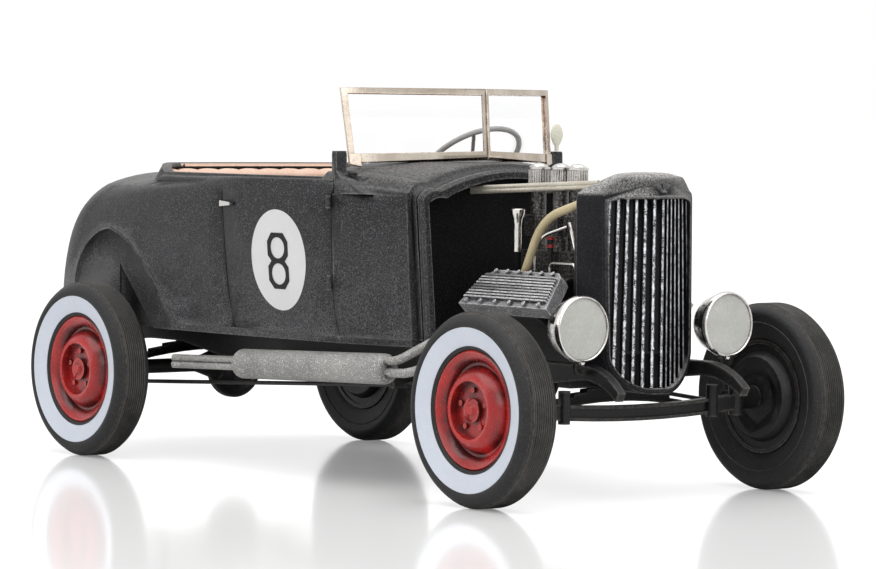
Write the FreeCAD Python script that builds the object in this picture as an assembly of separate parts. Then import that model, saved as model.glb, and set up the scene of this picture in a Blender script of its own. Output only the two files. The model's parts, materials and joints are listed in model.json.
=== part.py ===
import FreeCAD, Part
import math
import os

# Small-scale (1:87) display model of a 1930s open two-seat hot rod.
# Millimetres, at the model's own size.  While the pieces are made, x = 0 is the
# rear axle line (nose towards +x), y = 0 the middle plane (car's left is +y) and
# z = 0 the ground.  export() then moves everything so that the origin lies on the
# ground under the middle of the overall length.

V = FreeCAD.Vector

# ---------------------------------------------------------------- driving sizes
SCALE = 1 / 87                   # model scale
WHEELBASE = 2692.4 * SCALE       # 106 in between the axles of the real car
AXLE_FIT = 0.03                  # radial running clearance of a wheel on its stub
SEAT_FIT = 0.02                  # gap between pieces pushed together and glued
BEYOND = 30.0                    # reach of a cutting block past whatever it cuts

# wheels: radii from the axle, and distances from the wheel's middle plane
TYRE_R = 4.31
TYRE_W = 1.91
TYRE_BORE = 2.62
TYRE_BULGE_R = 3.76              # widest part of the sidewall
TYRE_SHOULDER_R = 4.13
FRONT_TRACK = 17.00
REAR_TRACK = 17.54
BEAD_Y = 0.58                    # tyre's foot on the wheel
BAND_R = 2.78                    # inner edge of the sidewall's flat band,
BAND_Y = 0.68                    # which runs out to the bulge
SHOULDER_Y = 0.74
TREAD_HALF = 0.50
LIP_Y = 0.62                     # outer lip of the pressed wheel
LIP_ROUND = 0.06
LIP_IN_R = 2.30                  # lip slopes in to here
LIP_FOOT_Y = 0.50
WELL_R = 2.12                    # gutter between lip and disc
WELL_EDGE_Y = 0.30
WELL_Y = 0.16
DISC_R = 1.95                    # foot of the bowed disc
CREST_R = 1.40                   # raised ring round the bolts
CREST_Y = 0.82
CREST_W = 0.12
BOLT_FACE_R = 1.20               # sunk face that carries the bolts
BOLT_FACE_Y = 0.45
HUB_RING_R = 0.53                # collar round the hub cap
HUB_RING_Y = 0.64
HUB_CAP_R = 0.30
HUB_CAP_Y = 0.76
LUG_COUNT = 5
LUG_CIRCLE_R = 0.88
LUG_R = 0.12
LUG_H = 0.12
DRUM_R = 1.97                    # brake drum
DRUM_FACE = 1.00                 # its inner face
DRUM_IN = 0.38                   # where drum and pressed wheel meet
DRUM_RING_R = 2.42               # black ring round the drum, out to the tyre
DRUM_RING_Y = 0.66
DRUM_RIB = 0.12                  # depth and slope of the drum's ribs
DRUM_RIB_R = 1.45                # inner edge of the raised outer rib
DRUM_BOSS_R = 0.90
STUB_R = 0.34                    # stub axle that carries a wheel
STUB_LEN = 1.02                  # beyond the drum's inner face
BORE_GAP = 0.15                  # space beyond the stub's end

# body: plan sections stacked in height.  Columns: height, half width at the
# fire wall, at the door's hinge line, at its latch line and at the quarter panel,
# x where the tail starts to turn, and the radius of that turn
BODY_LEVELS = (
    (6.45, 5.32, 6.38, 6.90, 6.95, -4.00, 3.0),
    (8.00, 5.50, 6.85, 7.25, 7.25, -3.90, 3.0),
    (9.70, 5.62, 7.00, 7.50, 7.45, -3.30, 3.0),
    (11.30, 5.70, 7.05, 7.65, 7.45, -2.60, 3.0),
    (12.60, 5.75, 7.10, 7.75, 7.30, -1.50, 3.0),
    (13.40, 5.80, 7.10, 7.78, 6.90, -0.35, 3.2),
)
DECK_LEVELS = (
    (13.40, 5.80, 7.10, 7.78, 6.90, -0.35, 3.2),
    (13.80, 5.80, 7.00, 7.70, 5.90, 0.20, 3.2),
    (14.05, 5.80, 6.85, 7.55, 4.60, 1.20, 3.2),
)
SILL_Z = BODY_LEVELS[0][0]
BELT_Z = BODY_LEVELS[-1][0]
TURN_SWEEP = 70.0                # degrees of the tail's corner arc
WALL = 0.45
WALL_X = 21.85                   # front edge of the body sides
HINGE_X = 17.80
LATCH_X = 9.98
LINE_W = 0.10                    # engraved panel lines
LINE_DEPTH = 0.12
SILL_BEAD_H = 0.33               # rolled edge along the foot of the body
SILL_BEAD_PROUD = 0.10
LID_HALF = 3.70                  # half width of the rear deck lid
LID_LOW_Z = 8.60                 # its lower edge
COWL_CROWN = 15.10               # cowl top on the middle plane, at the screen
COWL_EYE = 14.55                 # cowl top where it turns into the side
NOSE_CROWN = 14.90               # the same two at the fire wall
NOSE_EYE = 14.00
COWL_TURN = 1.00                 # width of the cowl's shoulder
SEAM_STEP = 0.07                 # cowl top lies this far inside the side panels
SEAM_REAR = (18.35, 14.42)       # seam between them: foot of the stanchion,
SEAM_BEND = (19.35, 13.74)       # end of its sweep (x, z)
SEAM_FRONT_Z = 13.53             # and height at the fire wall
FLANGE_LEN = 0.75                # hood seat flange in front of the fire wall
FLANGE_INSET = 0.30
FLANGE_W = 0.42
FLANGE_ROOT = 0.20               # flange starts this far inside the body's edge
FLANGE_GROOVE_X = 0.30           # groove round it, from the body's edge
FLANGE_GROOVE_W = 0.12
FLANGE_GROOVE_DEPTH = 0.14
FLANGE_ROUND = 0.12
FLANGE_FOOT = 1.00               # width of each leg of the flange at the sill
FIREWALL_T = 0.40

# cockpit
COCKPIT_REAR = 1.30
COCKPIT_FRONT = 16.90
COCKPIT_INSET = 0.95             # rim's inner edge from the body side
COCKPIT_R = 1.90                 # rear corners of the opening
COCKPIT_BOW = 0.35               # rear edge bows backwards
RIM_W = 0.55                     # rolled rim round the cockpit
RIM_TOP = 14.58                  # behind the seat
RIM_SIDE = 14.16                 # beside it
RIM_FALL = (1.40, 3.60)          # x where the rim falls from one to the other
RIM_ROUND = 0.20
CURL_R = 0.19                    # belt bead whose rear end shows under the rim
CURL_DROP = 0.76
STANCHION_TOP = 15.37
STANCHION_LEN = 1.10
STANCHION_W = 0.75
STANCHION_IN = 0.15              # outer face inside the body side

# wheel housings in the quarter panels: rear foot, rear shoulder, top, front
# shoulder, knee and front foot of the outline, as x and z
ARCH = ((-3.45, 8.40), (-2.35, 10.20), (0.00, 11.25), (1.95, 10.55), (3.40, 9.25), (5.20, 6.45))
ARCH_FACE = 7.45                 # body side at the housing
ARCH_DEPTH = 0.85
ARCH_BEAD_W = 0.20               # raised bead round the housing
ARCH_BEAD_PROUD = 0.10
HOUSING_T = 0.50
HOUSING_MARGIN = 0.50
TUB_RIM_Y = 7.30                 # panel in the housing: its edge, and its
TUB_CREASE_Y = 6.98              # upright crease above the axle
TUB_APEX_Z = 9.53                # top of the gap in front of that crease
TUB_GAP_X = 3.25                 # the gap's front end at the sill

# floor, seat and trims
FLOOR_T = 0.40
FLOOR_TOP = SILL_Z + FLOOR_T
SEAT_X = 1.50                    # rear face of the seat back, at its top
SEAT_DEPTH = 4.60
CUSHION_ROUND = 0.70
SEAT_HALF = 5.60
SEAT_TOP = 10.20
BACK_T = 1.75
BACK_TOP = 14.30
BACK_RAKE = 0.45
BACK_ROUND = 0.55
BACK_CLEAR = 4.0                 # reach of its cutting shapes ahead of it
SCALLOP = 0.16                   # height of the rolls' rounded tops
BACK_WING_Z = 11.85              # above the housings the back is wider
ROLL_COUNT = 9                   # upholstery rolls between the housings
ROLL_BULGE = 0.12
TRIM_T = 0.30
TRIM_X0 = 9.40
TRIM_X1 = 16.20
TRIM_ROLLS = 6
TRIM_GAP = 0.12                  # to the door's skin
DASH_T = 0.35
DASH_FIT = 0.12
DASH_BOTTOM = 12.30

# chassis
RAIL_Y = 4.90                    # middle of each rail
RAIL_W = 0.80
RAIL_TOP = 6.15
RAIL_H = 0.95
RAIL_TAPER_X = 19.0
RAIL_FRONT_Y = 3.20
RAIL_REAR_X = -5.60
RAIL_FRONT_X = 29.20
KICK_RISE = 0.55                 # frame kicks up over the rear axle
KICK_X0 = 3.0
KICK_X1 = 6.5
HORN_ROOT_X = 32.20              # from here the front horn curls down
HORN_X = 34.60                   # its tip
HORN_Y = 3.66
HORN_Z = 4.88
HORN_TIP_H = 0.36
HORN_TIP_W = 0.42
HORN_TIP_CUT = 0.20              # tip's lower corner lies this far back
HORN_ROOT_H = 0.65
CROSS_W = 0.85
REAR_CROSS_X = -2.60
REAR_CROSS_Z = 5.60              # underside of the rear crossmember
MID_CROSS_X = 12.60
MID_CROSS_H = 0.50
FRONT_CROSS_X = RAIL_FRONT_X
FRONT_CROSS_Z = 4.98             # underside of the front crossmember
FRONT_CROSS_DROP = 0.10          # its top lies this far below the rails'
JOINT_GAP = 0.06                 # at each end of the propeller shaft
GEARBOX_REAR_X = 18.40
GEARBOX_R = 0.95
GEARBOX_Z = 5.10
BELL_R = 1.60
BELL_LEN = 2.00
SHAFT_R = 0.32
GEARBOX_PAN = (19.20, 21.80)     # flat pan under the gearbox, front and rear
PAN_HALF = 0.80
PAN_Z = 3.95

# engine
ENGINE_X0 = 24.10
ENGINE_LEN = 4.90
ENGINE_BOTTOM = 5.30
SUMP_HALF = 1.35
SKIRT_HALF = 1.65
SKIRT_Z = 6.50
VALLEY_RISE = 0.20               # valley cover above the heads' inner edge
VALLEY_IN = 0.35
HEAD_SLOPE = 45.0                # degrees
HEAD_X0 = 24.30
HEAD_X1 = 29.85
HEAD_Y = 3.72                    # middle of a cylinder head's outer face
HEAD_Z = 9.42
HEAD_W = 2.15
HEAD_T = 0.75
HEAD_SKEW = 0.35                 # heads lean forward along the block
HEAD_NECK = 0.50                 # cut-off upper corners
HEAD_STRIP = 0.30                # plain edge that carries the bolts
FIN_COUNT = 9
FIN_H = 0.14
FIN_SHARE = 0.55                 # of the pitch
FIN_MARGIN = 0.12
BOLT_COUNT = 6                   # head bolts along each long edge
BOLT_R = 0.10
BOLT_H = 0.16
CARB_X = (24.27, 25.86, 27.05)
CARB_R = 0.36
CARB_BASE_R = 0.42
CARB_BOWL = 0.76                 # length of the square float bowl
CARB_BOWL_HALF = 0.50
CARB_BOWL_H = 0.95
FILTER_R = 0.45
FILTER_Z = 13.86
FILTER_H = 0.78
FILTER_BRIM = 0.06               # cap overhangs the ribbed can
FILTER_CAP = 0.09
FILTER_DOME = 0.20
MANIFOLD_TOP = 10.95
MANIFOLD_HALF = 0.80
RISER_H = 0.65                   # from the manifold to the float bowls
BREATHER_X = 24.36
BREATHER_Y = -1.30
BREATHER_TOP = 12.82
BREATHER_R = 0.36
BREATHER_STEM_R = 0.12
BREATHER_WAIST = 11.40           # heights where the trumpet widens
BREATHER_NECK = 12.30
BREATHER_LIP = 0.10
HOSE_R = 0.20
HOSE_Y = 2.00
HOSE_FOOT_X = 25.78
HOSE_BEND = (27.00, 12.45)
HOSE_TOP_Z = 13.30
LINE_R = 0.075                   # thin metal fuel and ignition lines
SPARK_X = 26.45                  # distributor
SPARK_Y = -1.05
SPARK_TOP = 11.62
SPARK_R = 0.20
SPARK_STEP = 0.36                # one cap above the other
SPARK_CAP_H = 0.14
FUEL_X = 25.82                   # fuel line
FUEL_Y = -1.45
FUEL_BEND_Z = 11.50
BYPASS_X = (26.90, 28.70)        # coolant by-pass, its two feet
BYPASS_Y = -1.45
BYPASS_Z = 10.43
THROTTLE = ((27.66, -0.98, 12.28), (28.45, -1.12, 10.62))
FAN_R = 1.70
FAN_Z = 9.60
FAN_HUB_R = 0.40
FAN_HUB_LEN = 0.30
FAN_BLADES = 4
FAN_BLADE_W = 0.60
FAN_BLADE_T = 0.10

# radiator and grille shell
SHELL_BACK = 30.15
SHELL_EDGE = 31.90               # where side and prow meet
SHELL_NOSE = 33.15
SHELL_HALF = 2.66
SHELL_FOOT = 2.35                # half width low down
SHELL_PEAK = 14.66
SHELL_SHOULDER = 13.30
SHELL_BOTTOM = 4.85
SHELL_RIM = 0.24
SHELL_EYE_IN = 1.05              # width of the shoulder's curve
SHELL_CHIN_H = 1.70              # height of the curved chin
SHELL_TOP_X = 31.55              # crown of the domed top
SHELL_DROP = 0.45                # dome's fall to the rear edge
GRILLE_TOP = 13.50
GRILLE_BACK = 0.30               # insert's face behind the shell's prow
GRILLE_T = 0.30
BAR_COUNT = 13
BAR_W = 0.13
BAR_PROUD = 0.16
CROSS_BAR_Z = 6.62               # level bar across the foot of the grille
CROSS_BAR_H = 0.10
CROSS_BAR_PROUD = 0.08
GRILLE_BEAD = 0.10               # bead round the opening
BROW_SLOT_Z = 14.00
BROW_SLOT_H = 0.34
BROW_SLOT_DEPTH = 0.45
CORE_T = 0.60
CORE_TOP = 12.85
CORE_SIDE = 0.10

# lamps
LAMP_X = 32.74
LAMP_Y = 4.28
LAMP_Z = 7.80
LAMP_R = 1.52
LENS_R = 1.36
LENS_T = 0.14
LENS_SUNK = 0.05
LAMP_LEN = 2.35
BEZEL_W = 0.42
BEZEL_GROOVE = 0.06
LAMP_CAP_R = 0.16                # small flat at the bucket's rear
LAMP_BAR_R = 0.13
LAMP_BAR_BACK = 0.60
LAMP_BAR_DROP = 0.30

# windscreen
POST_X = 17.69
POST_Y = 6.00
POST_Z = 14.94
SCREEN_NOSE_X = 20.40
SCREEN_NOSE_Z = 15.12
SCREEN_TOP = 18.30
SCREEN_LEAN = 0.60               # top set back from the bottom
FRAME_W = 0.28
FRAME_T = 0.26
PANE_T = 0.10
FOOT_DROP = 0.20                 # thicker foot at each end of the frame
FOOT_LEN = 0.55
MIRROR_R = 0.55
MIRROR_OVAL = (0.22, 0.62, 1.0)  # thickness, width and height as shares of it
MIRROR_RISE = 0.80
MIRROR_AHEAD = 0.15
MIRROR_STALK_R = 0.10

# steering wheel
WHEEL_X = 15.60
WHEEL_Y = 2.95
WHEEL_Z = 14.94
WHEEL_R = 2.45
WHEEL_RIM_R = 0.13
WHEEL_HUB_R = 0.32
WHEEL_HUB_H = 0.30
SPOKE_R = 0.09
SPOKE_COUNT = 3
WHEEL_TILT = 52.0                # degrees from upright
COLUMN_R = 0.16

# exhaust
PIPE_Y = 7.00
TAIL_TIP_X = 4.90
MUFFLER_X0 = 10.56
MUFFLER_X1 = 22.20
PIPE_Z0 = 5.11                   # at the muffler's rear end
PIPE_Z1 = 5.52                   # at its front end
MUFFLER_R = 0.71
MUFFLER_ROUND = 0.32
TAIL_R = 0.18
TAIL_BORE_R = 0.12
TAIL_BORE_LEN = 0.60
HEADER_R = 0.21
HEADER_LIFT = (0.38, -0.14)      # of each pipe above the muffler's middle line
HEADER_RUN = (0.60, 1.70)        # where each turns in towards the engine
HEADER_X = (25.30, 27.60)        # ends of the pipes under the cylinder head
HEADER_Y = 4.38
HEADER_Z = 7.95

# axles
BEAM_Z = 3.90                    # middle of the beam's height, at the centre
BEAM_X = 0.42                    # beam lies ahead of the spindles
BEAM_H = 0.70
BEAM_T = 0.46
BEAM_WEB = 0.16
BEAM_FLANGE = 0.14
BEAM_RISE = 0.28                 # beam curves up to its ends
BEAM_HALF = 5.85
KINGPIN_R = 0.34
KINGPIN_H = 1.50
KNUCKLE_HALF = 0.35
KINGPIN_OUT = 0.10               # kingpin's middle beyond the beam's end
BACKING_R = 0.55
BACKING_GAP = 0.10               # axle flange to drum
BACKING_T = 0.25
PERCH_Y = 4.36
PERCH_AHEAD = 0.15
PERCH_R = 0.27
PERCH_TOP = 5.02
PERCH_FOOT = 3.55
AXLE_R = 0.36
BANJO_R = 1.60
BANJO_T = 1.70
BANJO_DROP = 0.14                # housing hangs a little below the axle line
BANJO_RIM = 0.14
PINION_R = 0.55
TRUMPET_LEN = 1.30
SPRING_W = 0.55
LEAF_T = 0.13
LEAF_COUNT = 5
LEAF_STEP = 0.16                 # each leaf is shorter by this share
LEAF_SAG = 0.022                 # fall of a leaf per square millimetre of reach
FRONT_SPRING_HALF = 4.70
REAR_SPRING_HALF = 5.40
SPRING_INSET = 0.20
RADIUS_R = 0.10
RADIUS_REAR = (0.42, 5.60, 3.60) # rear rod: at the axle, and at the frame
RADIUS_FRAME = (20.80, 5.60, 4.68)
HAIRPIN_AXLE_Y = 5.10            # front rod: at the beam,
HAIRPIN_FRAME = (18.30, 4.60)    # and x and y under the rail
ROD_LUG = 0.16                   # half size of the rods' frame brackets
TIE_BACK = 1.75                  # tie rod behind the front wheels' middle
TIE_GAP = 0.27                   # under the front radius rods
TIE_R = 0.13

# door handles, hinges and hood rods
HANDLE_X = 0.08                  # from the latch line to the lever
HANDLE_LEN = 0.85
HANDLE_H = 0.28
HANDLE_PROUD = 0.20
HANDLE_Z = 12.76
HINGE_SPANS = ((8.92, 9.62), (12.72, 13.32))
HINGE_R = 0.12
HINGE_GAP = 0.04
HOOD_ROD_R = 0.07
HOOD_ROD_STEP = 0.17
HOOD_ROD_REAR = (1.85, 13.55)    # y and z at the fire wall
HOOD_ROD_FRONT = (1.40, 13.98)   # and at the radiator shell


# --------------------------------------------------------------------- helpers
def box(x0, x1, y0, y1, z0, z1):
    return Part.makeBox(x1 - x0, y1 - y0, z1 - z0, V(x0, y0, z0))


def rod(start, end, radius):
    run = end - start
    return Part.makeCylinder(radius, run.Length, start, run)


def cone(start, end, radius, end_radius):
    run = end - start
    return Part.makeCone(radius, end_radius, run.Length, start, run)


def mirrored(shape):
    return shape.mirror(V(0, 0, 0), V(0, 1, 0))


def both(shape):
    """The shape and its mirror image across the middle plane."""
    return Part.makeCompound([shape, mirrored(shape)])


def fused(shapes):
    return shapes[0].multiFuse(shapes[1:]).removeSplitter()


def prism(points, run):
    """Polygon through the points, extruded along run."""
    return Part.Face(Part.makePolygon(points + points[:1])).extrude(run)


def line(a, b):
    return Part.LineSegment(a, b).toShape()


def arc(a, middle, b):
    return Part.Arc(a, middle, b).toShape()


def turned(points):
    """Solid of revolution about the y axis from (radius, y) points."""
    corners = [V(r, y, 0) for r, y in points]
    face = Part.Face(Part.makePolygon(corners + corners[:1]))
    return face.revolve(V(0, 0, 0), V(0, 1, 0), 360)


def pipe(points, radius):
    """Straight runs joined by tangent arcs, as one swept tube."""
    edges = []
    start = points[0]
    for before, corner, after in zip(points, points[1:], points[2:]):
        into = (corner - before).normalize()
        out = (after - corner).normalize()
        turn = into.getAngle(out)
        run = 0.45 * min(before.distanceToPoint(corner), corner.distanceToPoint(after))
        bend = run / math.tan(turn / 2)
        a = corner - into * run
        b = corner + out * run
        inward = (out - into).normalize()
        middle = corner + inward * (bend / math.cos(turn / 2) - bend)
        edges += [line(start, a), arc(a, middle, b)]
        start = b
    edges.append(line(start, points[-1]))
    path = Part.Wire(edges)
    section = Part.Wire(Part.makeCircle(radius, points[0], points[1] - points[0]))
    return path.makePipeShell([section], True, False)


def rolls(start, step, count, bulge):
    """Row of arcs from start, each one step long and bulging by the bulge vector."""
    edges = []
    for i in range(count):
        a = start + step * i
        edges.append(arc(a, a + step / 2 + bulge, a + step))
    return edges


def padded_face(start, step, count, bulge, depth):
    """Face with a rolled front edge and a straight back, depth behind it."""
    end = start + step * count
    edges = rolls(start, step, count, bulge)
    edges += [line(end, end + depth), line(end + depth, start + depth), line(start + depth, start)]
    return Part.Face(Part.Wire(edges))


NODES = {}


def export(name, shape):
    moved = shape.copy()
    moved.translate(V(-ORIGIN_X, 0, 0))
    NODES[name] = moved
    moved.exportStep(f"parts/{name}.step")


# ------------------------------------------------------------------------ body
def level_at(height):
    """Row of BODY_LEVELS at any height between its first and last."""
    for low, high in zip(BODY_LEVELS, BODY_LEVELS[1:]):
        if height <= high[0]:
            share = (height - low[0]) / (high[0] - low[0])
            return tuple(a + (b - a) * share for a, b in zip(low, high))
    return BODY_LEVELS[-1]


def tail_points(level, inset):
    """Corner arc of the tail (start, middle, end) and the tail's middle point."""
    _, _, _, _, quarter, turn_x, turn_r = level
    sweep = math.radians(TURN_SWEEP)
    centre = V(turn_x, quarter - turn_r, 0)
    radius = turn_r - inset
    spots = [centre + V(-math.sin(a), math.cos(a), 0) * radius for a in (0, sweep / 2, sweep)]
    bulge = spots[2].y * math.tan((math.pi / 2 - sweep) / 2)
    return spots, V(spots[2].x - bulge, 0, 0)


TAIL_X = tail_points(BODY_LEVELS[0], -SILL_BEAD_PROUD)[1].x
ORIGIN_X = (WHEELBASE + TYRE_R + TAIL_X) / 2


def flip(p):
    return V(p.x, -p.y, p.z)


def plan_wire(level, inset, height, with_cowl=True):
    """Closed plan outline of the body at one level, drawn at a height."""
    _, wall, hinge, latch, _, _, _ = level
    spots, tail = tail_points(level, inset)
    front = V(WALL_X - max(inset, 0), wall - inset, 0)
    door = V(HINGE_X, hinge - inset, 0)
    middle = V(LATCH_X, latch - inset, 0)
    left = [arc(door, middle, spots[0]), arc(*spots)]
    right = [arc(flip(spots[2]), flip(spots[1]), flip(spots[0]))]
    right.append(arc(flip(spots[0]), flip(middle), flip(door)))
    start = door
    if with_cowl:
        start = front
        left.insert(0, line(front, door))
        right.append(line(flip(door), flip(front)))
    edges = left + [arc(spots[2], tail, flip(spots[2]))] + right + [line(flip(start), start)]
    wire = Part.Wire(edges)
    wire.translate(V(0, 0, height))
    return wire


def body_loft(levels, inset, with_cowl=True):
    """Closed loft through the plan outlines, drawn in by inset."""
    wires = [plan_wire(level, inset, level[0], with_cowl) for level in levels]
    return Part.makeLoft(wires, True, False)


def sill_bead():
    """Rolled edge along the foot of the body."""
    rows = []
    for rise, inset in ((0, -SILL_BEAD_PROUD), (SILL_BEAD_H, -SILL_BEAD_PROUD),
                        (SILL_BEAD_H + SILL_BEAD_PROUD, SILL_BEAD_PROUD)):
        rows.append(plan_wire(level_at(SILL_Z + rise), inset, SILL_Z + rise))
    return Part.makeLoft(rows, True, True)


def front_section(x, foot, belt, eye, crown, inset):
    """Upright section of the cowl: foot and belt are (half width, height)."""
    foot_half, foot_z = foot[0] - inset, foot[1]
    belt_half, belt_z = belt[0] - inset, belt[1] - inset / 2
    foot_p = V(x, foot_half, foot_z)
    belt_p = V(x, belt_half, belt_z)
    eye_p = V(x, belt_half - COWL_TURN, eye - inset)
    bulge = V(x, belt_half - COWL_TURN * 0.24, belt_z + (eye - inset - belt_z) * 0.70)
    top = V(x, 0, crown - inset)
    edges = [line(foot_p, belt_p), arc(belt_p, bulge, eye_p), arc(eye_p, top, flip(eye_p))]
    edges += [arc(flip(eye_p), flip(bulge), flip(belt_p)), line(flip(belt_p), flip(foot_p))]
    edges.append(line(flip(foot_p), foot_p))
    return Part.Wire(edges)


WALL_FOOT = (BODY_LEVELS[0][1], SILL_Z)
WALL_BELT = (BODY_LEVELS[-1][1], BELT_Z)
HINGE_BELT = BODY_LEVELS[-1][2]


def wall_section(inset, x):
    """Fire wall outline at x, drawn in by inset."""
    foot = (WALL_FOOT[0], WALL_FOOT[1] + inset)
    return front_section(x, foot, WALL_BELT, NOSE_EYE, NOSE_CROWN, inset)


def wall_prism(inset, x0, x1):
    return Part.Face(wall_section(inset, x0)).extrude(V(x1 - x0, 0, 0))


def cowl_loft(inset, front_x, foot_z):
    rear = front_section(COCKPIT_FRONT, (HINGE_BELT, foot_z), (HINGE_BELT, BELT_Z),
                         COWL_EYE, COWL_CROWN, inset)
    front = front_section(front_x, (WALL_BELT[0], foot_z), WALL_BELT, NOSE_EYE, NOSE_CROWN, inset)
    return Part.makeLoft([rear, front], True, True)


def cowl_sides():
    """Side panels of the cowl, up to the seam that sweeps down from the stanchion."""
    low = BELT_Z - WALL / 2
    rear, bend = V(SEAM_REAR[0], 0, SEAM_REAR[1]), V(SEAM_BEND[0], 0, SEAM_BEND[1])
    middle = V(rear.x + (bend.x - rear.x) * 0.35, 0, rear.z + (bend.z - rear.z) * 0.70)
    front = V(WALL_X, 0, SEAM_FRONT_Z)
    corners = [front, V(WALL_X, 0, low), V(COCKPIT_FRONT, 0, low), V(COCKPIT_FRONT, 0, rear.z), rear]
    edges = [arc(rear, middle, bend), line(bend, front)]
    edges += [line(a, b) for a, b in zip(corners, corners[1:])]
    below = Part.Face(Part.Wire(edges)).extrude(V(0, BEYOND, 0))
    return cowl_loft(0, WALL_X, low).common(Part.makeCompound([below, mirrored(below)]))


def cockpit_edges(grow):
    """Left side and rear corner arcs of the cockpit opening, grown outwards."""
    hinge = HINGE_BELT - COCKPIT_INSET + grow
    latch = BODY_LEVELS[-1][3] - COCKPIT_INSET + grow
    front = V(COCKPIT_FRONT, hinge, 0)
    side = V(LATCH_X, latch, 0)
    radius = COCKPIT_R + grow
    rear_half = hinge + (latch - hinge) * 0.45
    turn = V(COCKPIT_REAR - grow + radius, rear_half, 0)
    corner = turn + V(-radius * math.sin(math.pi / 4), radius * (math.cos(math.pi / 4) - 1), 0)
    rear = turn + V(-radius, -radius, 0)
    return front, side, turn, corner, rear


def cockpit_wire(grow, height):
    """Plan outline of the cockpit opening, grown outwards."""
    front, side, turn, corner, rear = cockpit_edges(grow)
    bow = V(rear.x - COCKPIT_BOW, 0, 0)
    edges = [arc(front, side, turn), arc(turn, corner, rear), arc(rear, bow, flip(rear))]
    edges += [arc(flip(rear), flip(corner), flip(turn)), arc(flip(turn), flip(side), flip(front))]
    edges.append(line(flip(front), front))
    wire = Part.Wire(edges)
    wire.translate(V(0, 0, height))
    return wire


def cockpit_prism(grow, z0, z1):
    return Part.Face(cockpit_wire(grow, z0)).extrude(V(0, 0, z1 - z0))


def cockpit_rim():
    """Rolled rim with rounded edges, open towards the cowl."""
    low = BELT_Z - WALL
    steps = ((0, low - RIM_TOP), (0, -RIM_ROUND), (RIM_ROUND * 0.3, -RIM_ROUND * 0.3), (RIM_ROUND, 0))
    outer = Part.makeLoft([cockpit_wire(RIM_W - step, RIM_TOP + drop) for step, drop in steps], True, True)
    inner = Part.makeLoft([cockpit_wire(step, RIM_TOP + drop) for step, drop in steps], True, True)
    fall = [(RIM_FALL[0], RIM_TOP), (RIM_FALL[1], RIM_SIDE), (BEYOND, RIM_SIDE)]
    fall += [(BEYOND, BEYOND), (RIM_FALL[0], BEYOND)]
    corners = [V(x, -BEYOND, z) for x, z in fall + fall[:1]]
    above = Part.Face(Part.makePolygon(corners)).extrude(V(0, 2 * BEYOND, 0))
    return outer.cut(inner).cut(box(COCKPIT_FRONT, BEYOND, -BEYOND, BEYOND, 0, BEYOND)).cut(above)


def belt_curl():
    """Left belt bead; its round rear end shows under the rim's corner."""
    front, side, turn, corner, _ = cockpit_edges(RIM_W)
    height = V(0, 0, RIM_TOP - CURL_DROP)
    path = Part.Wire([arc(turn + height, side + height, front + height)])
    section = Part.Wire(Part.makeCircle(CURL_R, turn + height, V(1, 0, 0)))
    bead = path.makePipeShell([section], True, False)
    return [bead, Part.makeSphere(CURL_R, turn + height)]


def arch_wire(y, grow):
    """Wheel housing outline at y, grown outwards."""
    rear, rear_mid, top, front_mid, knee, foot = [V(x, y, z) for x, z in ARCH]
    base_z = foot.z - HOUSING_MARGIN
    edges = [arc(rear, rear_mid, top), arc(top, front_mid, knee), line(knee, foot)]
    corners = [foot, V(foot.x, y, base_z), V(rear.x, y, base_z), rear]
    edges += [line(a, b) for a, b in zip(corners, corners[1:])]
    wire = Part.Wire(edges)
    return wire.makeOffset2D(grow) if grow else wire


def arch_prism(y0, y1, grow=0.0):
    return Part.Face(arch_wire(y0, grow)).extrude(V(0, y1 - y0, 0))


def arch_bead():
    """Raised bead round the left housing, following the body side."""
    band = arch_prism(ARCH_FACE - ARCH_DEPTH, ARCH_FACE + 1, ARCH_BEAD_W)
    band = band.cut(arch_prism(ARCH_FACE - ARCH_DEPTH, ARCH_FACE + 1))
    return body_loft(BODY_LEVELS, -ARCH_BEAD_PROUD).common(band)


def tub_panel():
    """Creased panel in the left housing, with a gap in front of its crease."""
    inner = ARCH_FACE - ARCH_DEPTH - SEAT_FIT
    rear_x, front_x = ARCH[0][0] - 1, ARCH[-1][0] + 1
    plan = [V(rear_x, inner, SILL_Z), V(rear_x, TUB_RIM_Y, SILL_Z), V(0, TUB_CREASE_Y, SILL_Z),
            V(front_x, TUB_RIM_Y, SILL_Z), V(front_x, inner, SILL_Z)]
    panel = prism(plan, V(0, 0, ARCH[2][1] - SILL_Z)).common(arch_prism(inner, ARCH_FACE))
    gap = prism([V(0, inner, TUB_APEX_Z), V(TUB_GAP_X, inner, SILL_Z), V(0, inner, SILL_Z)],
                V(0, ARCH_FACE, 0))
    return panel.cut(gap)


def housing_block(extra=0.0):
    inner = ARCH_FACE - ARCH_DEPTH - HOUSING_T
    margin = HOUSING_MARGIN + extra
    left = box(ARCH[0][0] - margin, ARCH[-1][0] + margin, inner - extra, ARCH_FACE + 1,
               SILL_Z - 1, ARCH[2][1] + margin)
    return both(left)


def stanchion():
    """Windscreen stanchion, its foot swept forward into the cowl."""
    y0 = HINGE_BELT - STANCHION_IN - STANCHION_W
    x0 = POST_X
    x1 = x0 + STANCHION_LEN
    top = STANCHION_TOP
    sweep_top, sweep_mid = V(x1 + 0.08, y0, top - 0.90), V(x1 + 0.30, y0, top - 1.30)
    sweep_low = V(x1 + 1.30, y0, BELT_Z)
    corners = [sweep_low, V(x0, y0, BELT_Z), V(x0 + 0.04, y0, top - 0.12), V(x0 + 0.16, y0, top),
               V(x1 - 0.12, y0, top), V(x1, y0, top - 0.12), sweep_top]
    edges = [line(a, b) for a, b in zip(corners, corners[1:])] + [arc(sweep_top, sweep_mid, sweep_low)]
    return Part.Face(Part.Wire(edges)).extrude(V(0, STANCHION_W, 0))


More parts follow.
